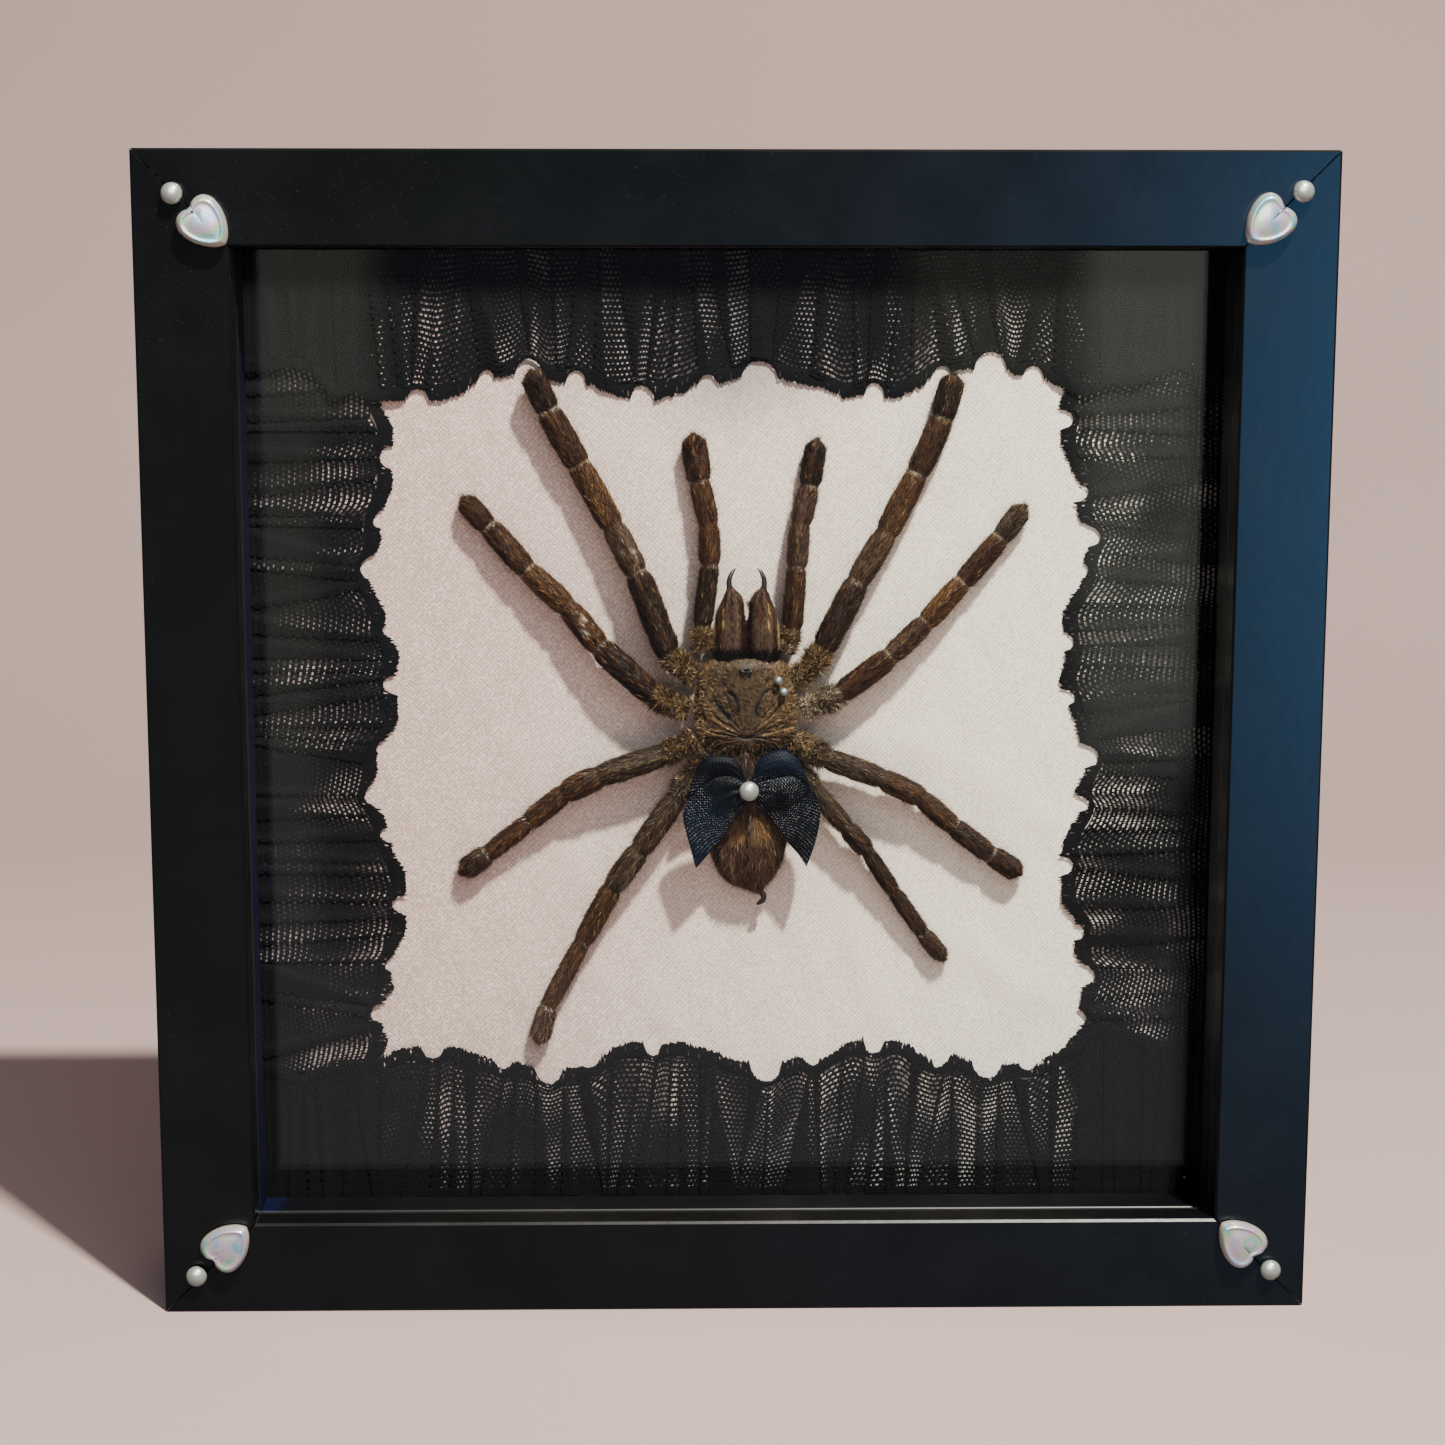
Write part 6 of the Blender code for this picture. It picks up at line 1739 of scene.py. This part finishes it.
def tie_bow(finish):
    """The folds and the knot band in one piece, given the ribbon's thickness."""
    points, faces, across, along = [], [], [], []
    total = 0
    for number, name in enumerate([*BOW_FOLDS, "knot"]):
        if name == "knot":
            grid = knot_band()
            rows, columns, _ = grid.shape
            wide = np.tile(np.arange(columns) * 0.3, rows)
            far = np.repeat(np.arange(rows) * 0.4, columns)
        else:
            grid, wide, far = ribbon_fold(name, number)
        flat = grid.reshape(-1, 3)
        made = sheet_faces(*grid.shape[:2], closed=name == "knot")
        normal = np.cross(flat[made[:, 1]] - flat[made[:, 0]], flat[made[:, 3]] - flat[made[:, 0]])
        outward = flat[made[:, 0]] - flat.mean(axis=0) if name == "knot" else np.array([0, -1.0, 0])
        if (normal * outward).sum() < 0:
            made = made[:, ::-1]
        points.append(flat)
        faces.append(made + total)
        across.append(wide.ravel())
        along.append(far.ravel())
        total += len(flat)
    bow = mesh_piece("bow_ribbon", np.concatenate(points), [np.concatenate(faces)], [finish])
    mark(bow, "across", np.concatenate(across))
    mark(bow, "along", np.concatenate(along))
    wall = bow.modifiers.new("thickness", "SOLIDIFY")
    wall.thickness = RIBBON_THICKNESS * MM
    wall.offset = -1
    bpy.context.view_layer.objects.active = bow
    bow.select_set(True)
    bpy.ops.object.modifier_apply(modifier="thickness")
    bpy.ops.object.select_all(action="DESELECT")
    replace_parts(bow, "ribbon_bow")


# ---------------------------------------------------------------- pearls and hearts
# the right half of the heart's outline, then its share of that outline at each rise
HEART_HALF = [(0, 4.7), (0.9, 5.4), (2.6, 5.6), (4.2, 4.9), (5.1, 3), (4.9, 0.6), (4, -1.8),
    (2.6, -3.8), (1.1, -5.2), (0, -5.6)]
HEART_LAYERS = [(0.955, 0), (0.985, 0.35), (1, 0.95), (0.985, 1.6), (0.94, 2.2), (0.88, 2.72),
    (0.82, 3), (0.77, 3.06), (0.72, 2.92), (0.66, 2.86), (0.5, 3.06), (0.26, 3.3)]
# each corner: its way out from the middle, and how far in from the sides its heart and its pearl sit
CORNERS = {
    "top_left": ((-1, 1), (15.6, 15.6), (8.7, 9.2)),
    "top_right": ((1, 1), (15.6, 14.9), (8.2, 8.5)),
    "bottom_left": ((-1, -1), (14.4, 15.8), (7.2, 8.7)),
    "bottom_right": ((1, -1), (14.8, 15.6), (7.7, 8.8))}
# pearls: where each sits, as (x, z, height), its diameter and its rise. The corner ones have one size.
CORNER_PEARL = (4.5, 2.7)
BOW_PEARL = (3.2, 111.4, 13.3, 4.4, 2.3)
CARAPACE_PEARLS = {"upper": (9.8, 135.6, 9.4, 1.9, 1.4), "lower": (11, 133, 8.9, 1.9, 1.4)}


def rounded_heart():
    """The heart's outline, its straight runs bowed out and its cleft and tip kept."""
    fine = resampled(HEART_HALF, 40)
    fine[1:-1] = eased(fine, 1.6)[1:-1]
    return np.concatenate([fine, (fine[::-1] * (-1, 1))[1:-1]])


def mould_heart(corner, finish):
    """A heart drawn up from its outline in steps with edit-mode extrusions, then smoothed."""
    outline = rounded_heart()
    (way_x, way_z), (across, up), _ = CORNERS[corner]
    centre = Vector((way_x * (HALF - across), HALF + way_z * (HALF - up)))
    spin = Matrix.Rotation(-way_x * (pi / 4 if way_z > 0 else 3 * pi / 4), 2)
    bpy.ops.mesh.primitive_circle_add(vertices=len(outline), radius=MM, fill_type="NGON",
                                      location=(0, 0, 0))
    heart = bpy.context.object

    def lay(ring, share, rise):
        for vertex, spot in zip(ring, outline):
            turned = spin @ Vector(spot) * share
            vertex.co = behind_face(centre.x + turned.x, centre.y + turned.y, -GAP - rise)
    lay(heart.data.vertices, *HEART_LAYERS[0])
    for share, rise in HEART_LAYERS[1:]:
        bpy.ops.object.mode_set(mode="EDIT")
        bpy.ops.mesh.select_mode(type="FACE")
        bpy.ops.mesh.extrude_region_move(TRANSFORM_OT_translate={"value": (0, -0.0002, 0)})
        bpy.ops.object.mode_set(mode="OBJECT")
        lay([vertex for vertex in heart.data.vertices if vertex.select], share, rise)
    bpy.ops.object.mode_set(mode="EDIT")
    bpy.ops.mesh.poke()
    bpy.ops.mesh.select_all(action="SELECT")
    bpy.ops.mesh.normals_make_consistent(inside=False)
    bpy.ops.object.mode_set(mode="OBJECT")
    heart.data.shade_smooth()
    heart = joined([heart], f"heart_{corner}_moulded", finish)
    top, whole = (FRONT_Y - GAP) * MM, HEART_LAYERS[-1][1] * MM
    mark(heart, "rise", [(top - vertex.co.y) / whole for vertex in heart.data.vertices])
    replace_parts(heart, f"heart_{corner}")


def set_pearl(name, node, base, diameter, rise, finish):
    """A pearl with a flat back: a ball, drawn in to its rise and cut off behind."""
    bpy.ops.mesh.primitive_uv_sphere_add(segments=40, ring_count=24, radius=diameter / 2 * MM,
                                         location=base)
    bead = bpy.context.object
    bead.scale = (1, rise * 0.62 / (diameter / 2), 1)
    bead.location.y -= rise * 0.38 * MM
    bpy.ops.object.transform_apply(location=True, rotation=False, scale=True)
    bpy.ops.object.mode_set(mode="EDIT")
    bpy.ops.mesh.select_all(action="SELECT")
    bpy.ops.mesh.bisect(plane_co=base, plane_no=(0, 1, 0), clear_outer=True, use_fill=True)
    bpy.ops.object.mode_set(mode="OBJECT")
    bead.data.shade_smooth()
    bpy.ops.object.shade_smooth_by_angle(angle=radians(50))
    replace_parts(joined([bead], name, finish), node)


def set_ornaments():
    """The four corner pearls and hearts, then the pearls on the bow and the carapace."""
    white = paint_pearl("white_pearl_finish", ((146, 153, 147), (172, 178, 171)))
    cool = paint_pearl("small_pearl_finish", ((112, 126, 122), (146, 159, 154)))
    heart_finish = paint_heart()
    for corner, ((way_x, way_z), _, (across, up)) in CORNERS.items():
        base = behind_face(way_x * (HALF - across), HALF + way_z * (HALF - up), -GAP)
        set_pearl(f"corner_pearl_{corner}_bead", f"corner_pearl_{corner}", base, *CORNER_PEARL, white)
        mould_heart(corner, heart_finish)
    set_pearl("bow_pearl_bead", "bow_pearl", place(*BOW_PEARL[:3]), *BOW_PEARL[3:], white)
    for place_name, values in CARAPACE_PEARLS.items():
        name = f"carapace_pearl_{place_name}"
        set_pearl(f"{name}_bead", name, place(*values[:3]), *values[3:], cool)


# ---------------------------------------------------------------- frame and back
def finish_frame():
    """Give each part of the frame its finish. Its shapes are right as they are."""
    board = clouded("white_board_finish", (600, 4), ((214, 208, 198), (236, 232, 224)), (0.75, 0.2),
                    (0.0002, 0.4))
    wanted = {"rail_": paint_foil(), "front_spacer_": paint_strip(), "glazing": paint_pane(),
              "insert_board": board, "back_panel": paint_fibreboard(), "back_tab_": paint_steel()}
    wanted["rear_spacer_"] = wanted["front_spacer_"]
    wanted["sawtooth_hanger"] = wanted["back_tab_"]
    for name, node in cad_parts.items():
        for start, finish in wanted.items():
            if name.startswith(start):
                for slot in node.material_slots:
                    slot.material = finish


def main():
    set_up_camera()
    lights = light_the_room()
    lay_floor()
    finish_frame()
    lay_satin()
    hang_lace()
    skin = paint_skin("tarantula_skin")
    hair = paint_hairs()
    horn = paint_black_horn("fang_horn", ((16, 12, 12), (40, 32, 32)), 0.16)
    grow_limbs(skin, hair)
    grow_carapace(skin, hair)
    set_eyes(paint_black_horn("eye_horn", ((10, 6, 5), (24, 12, 9)), 0.42))
    grow_abdomen(skin, hair)
    grow_spinneret(skin)
    grow_chelicerae(skin, hair, horn)
    set_ornaments()
    tie_bow(paint_ribbon())
    guide_lights(*lights)


main()
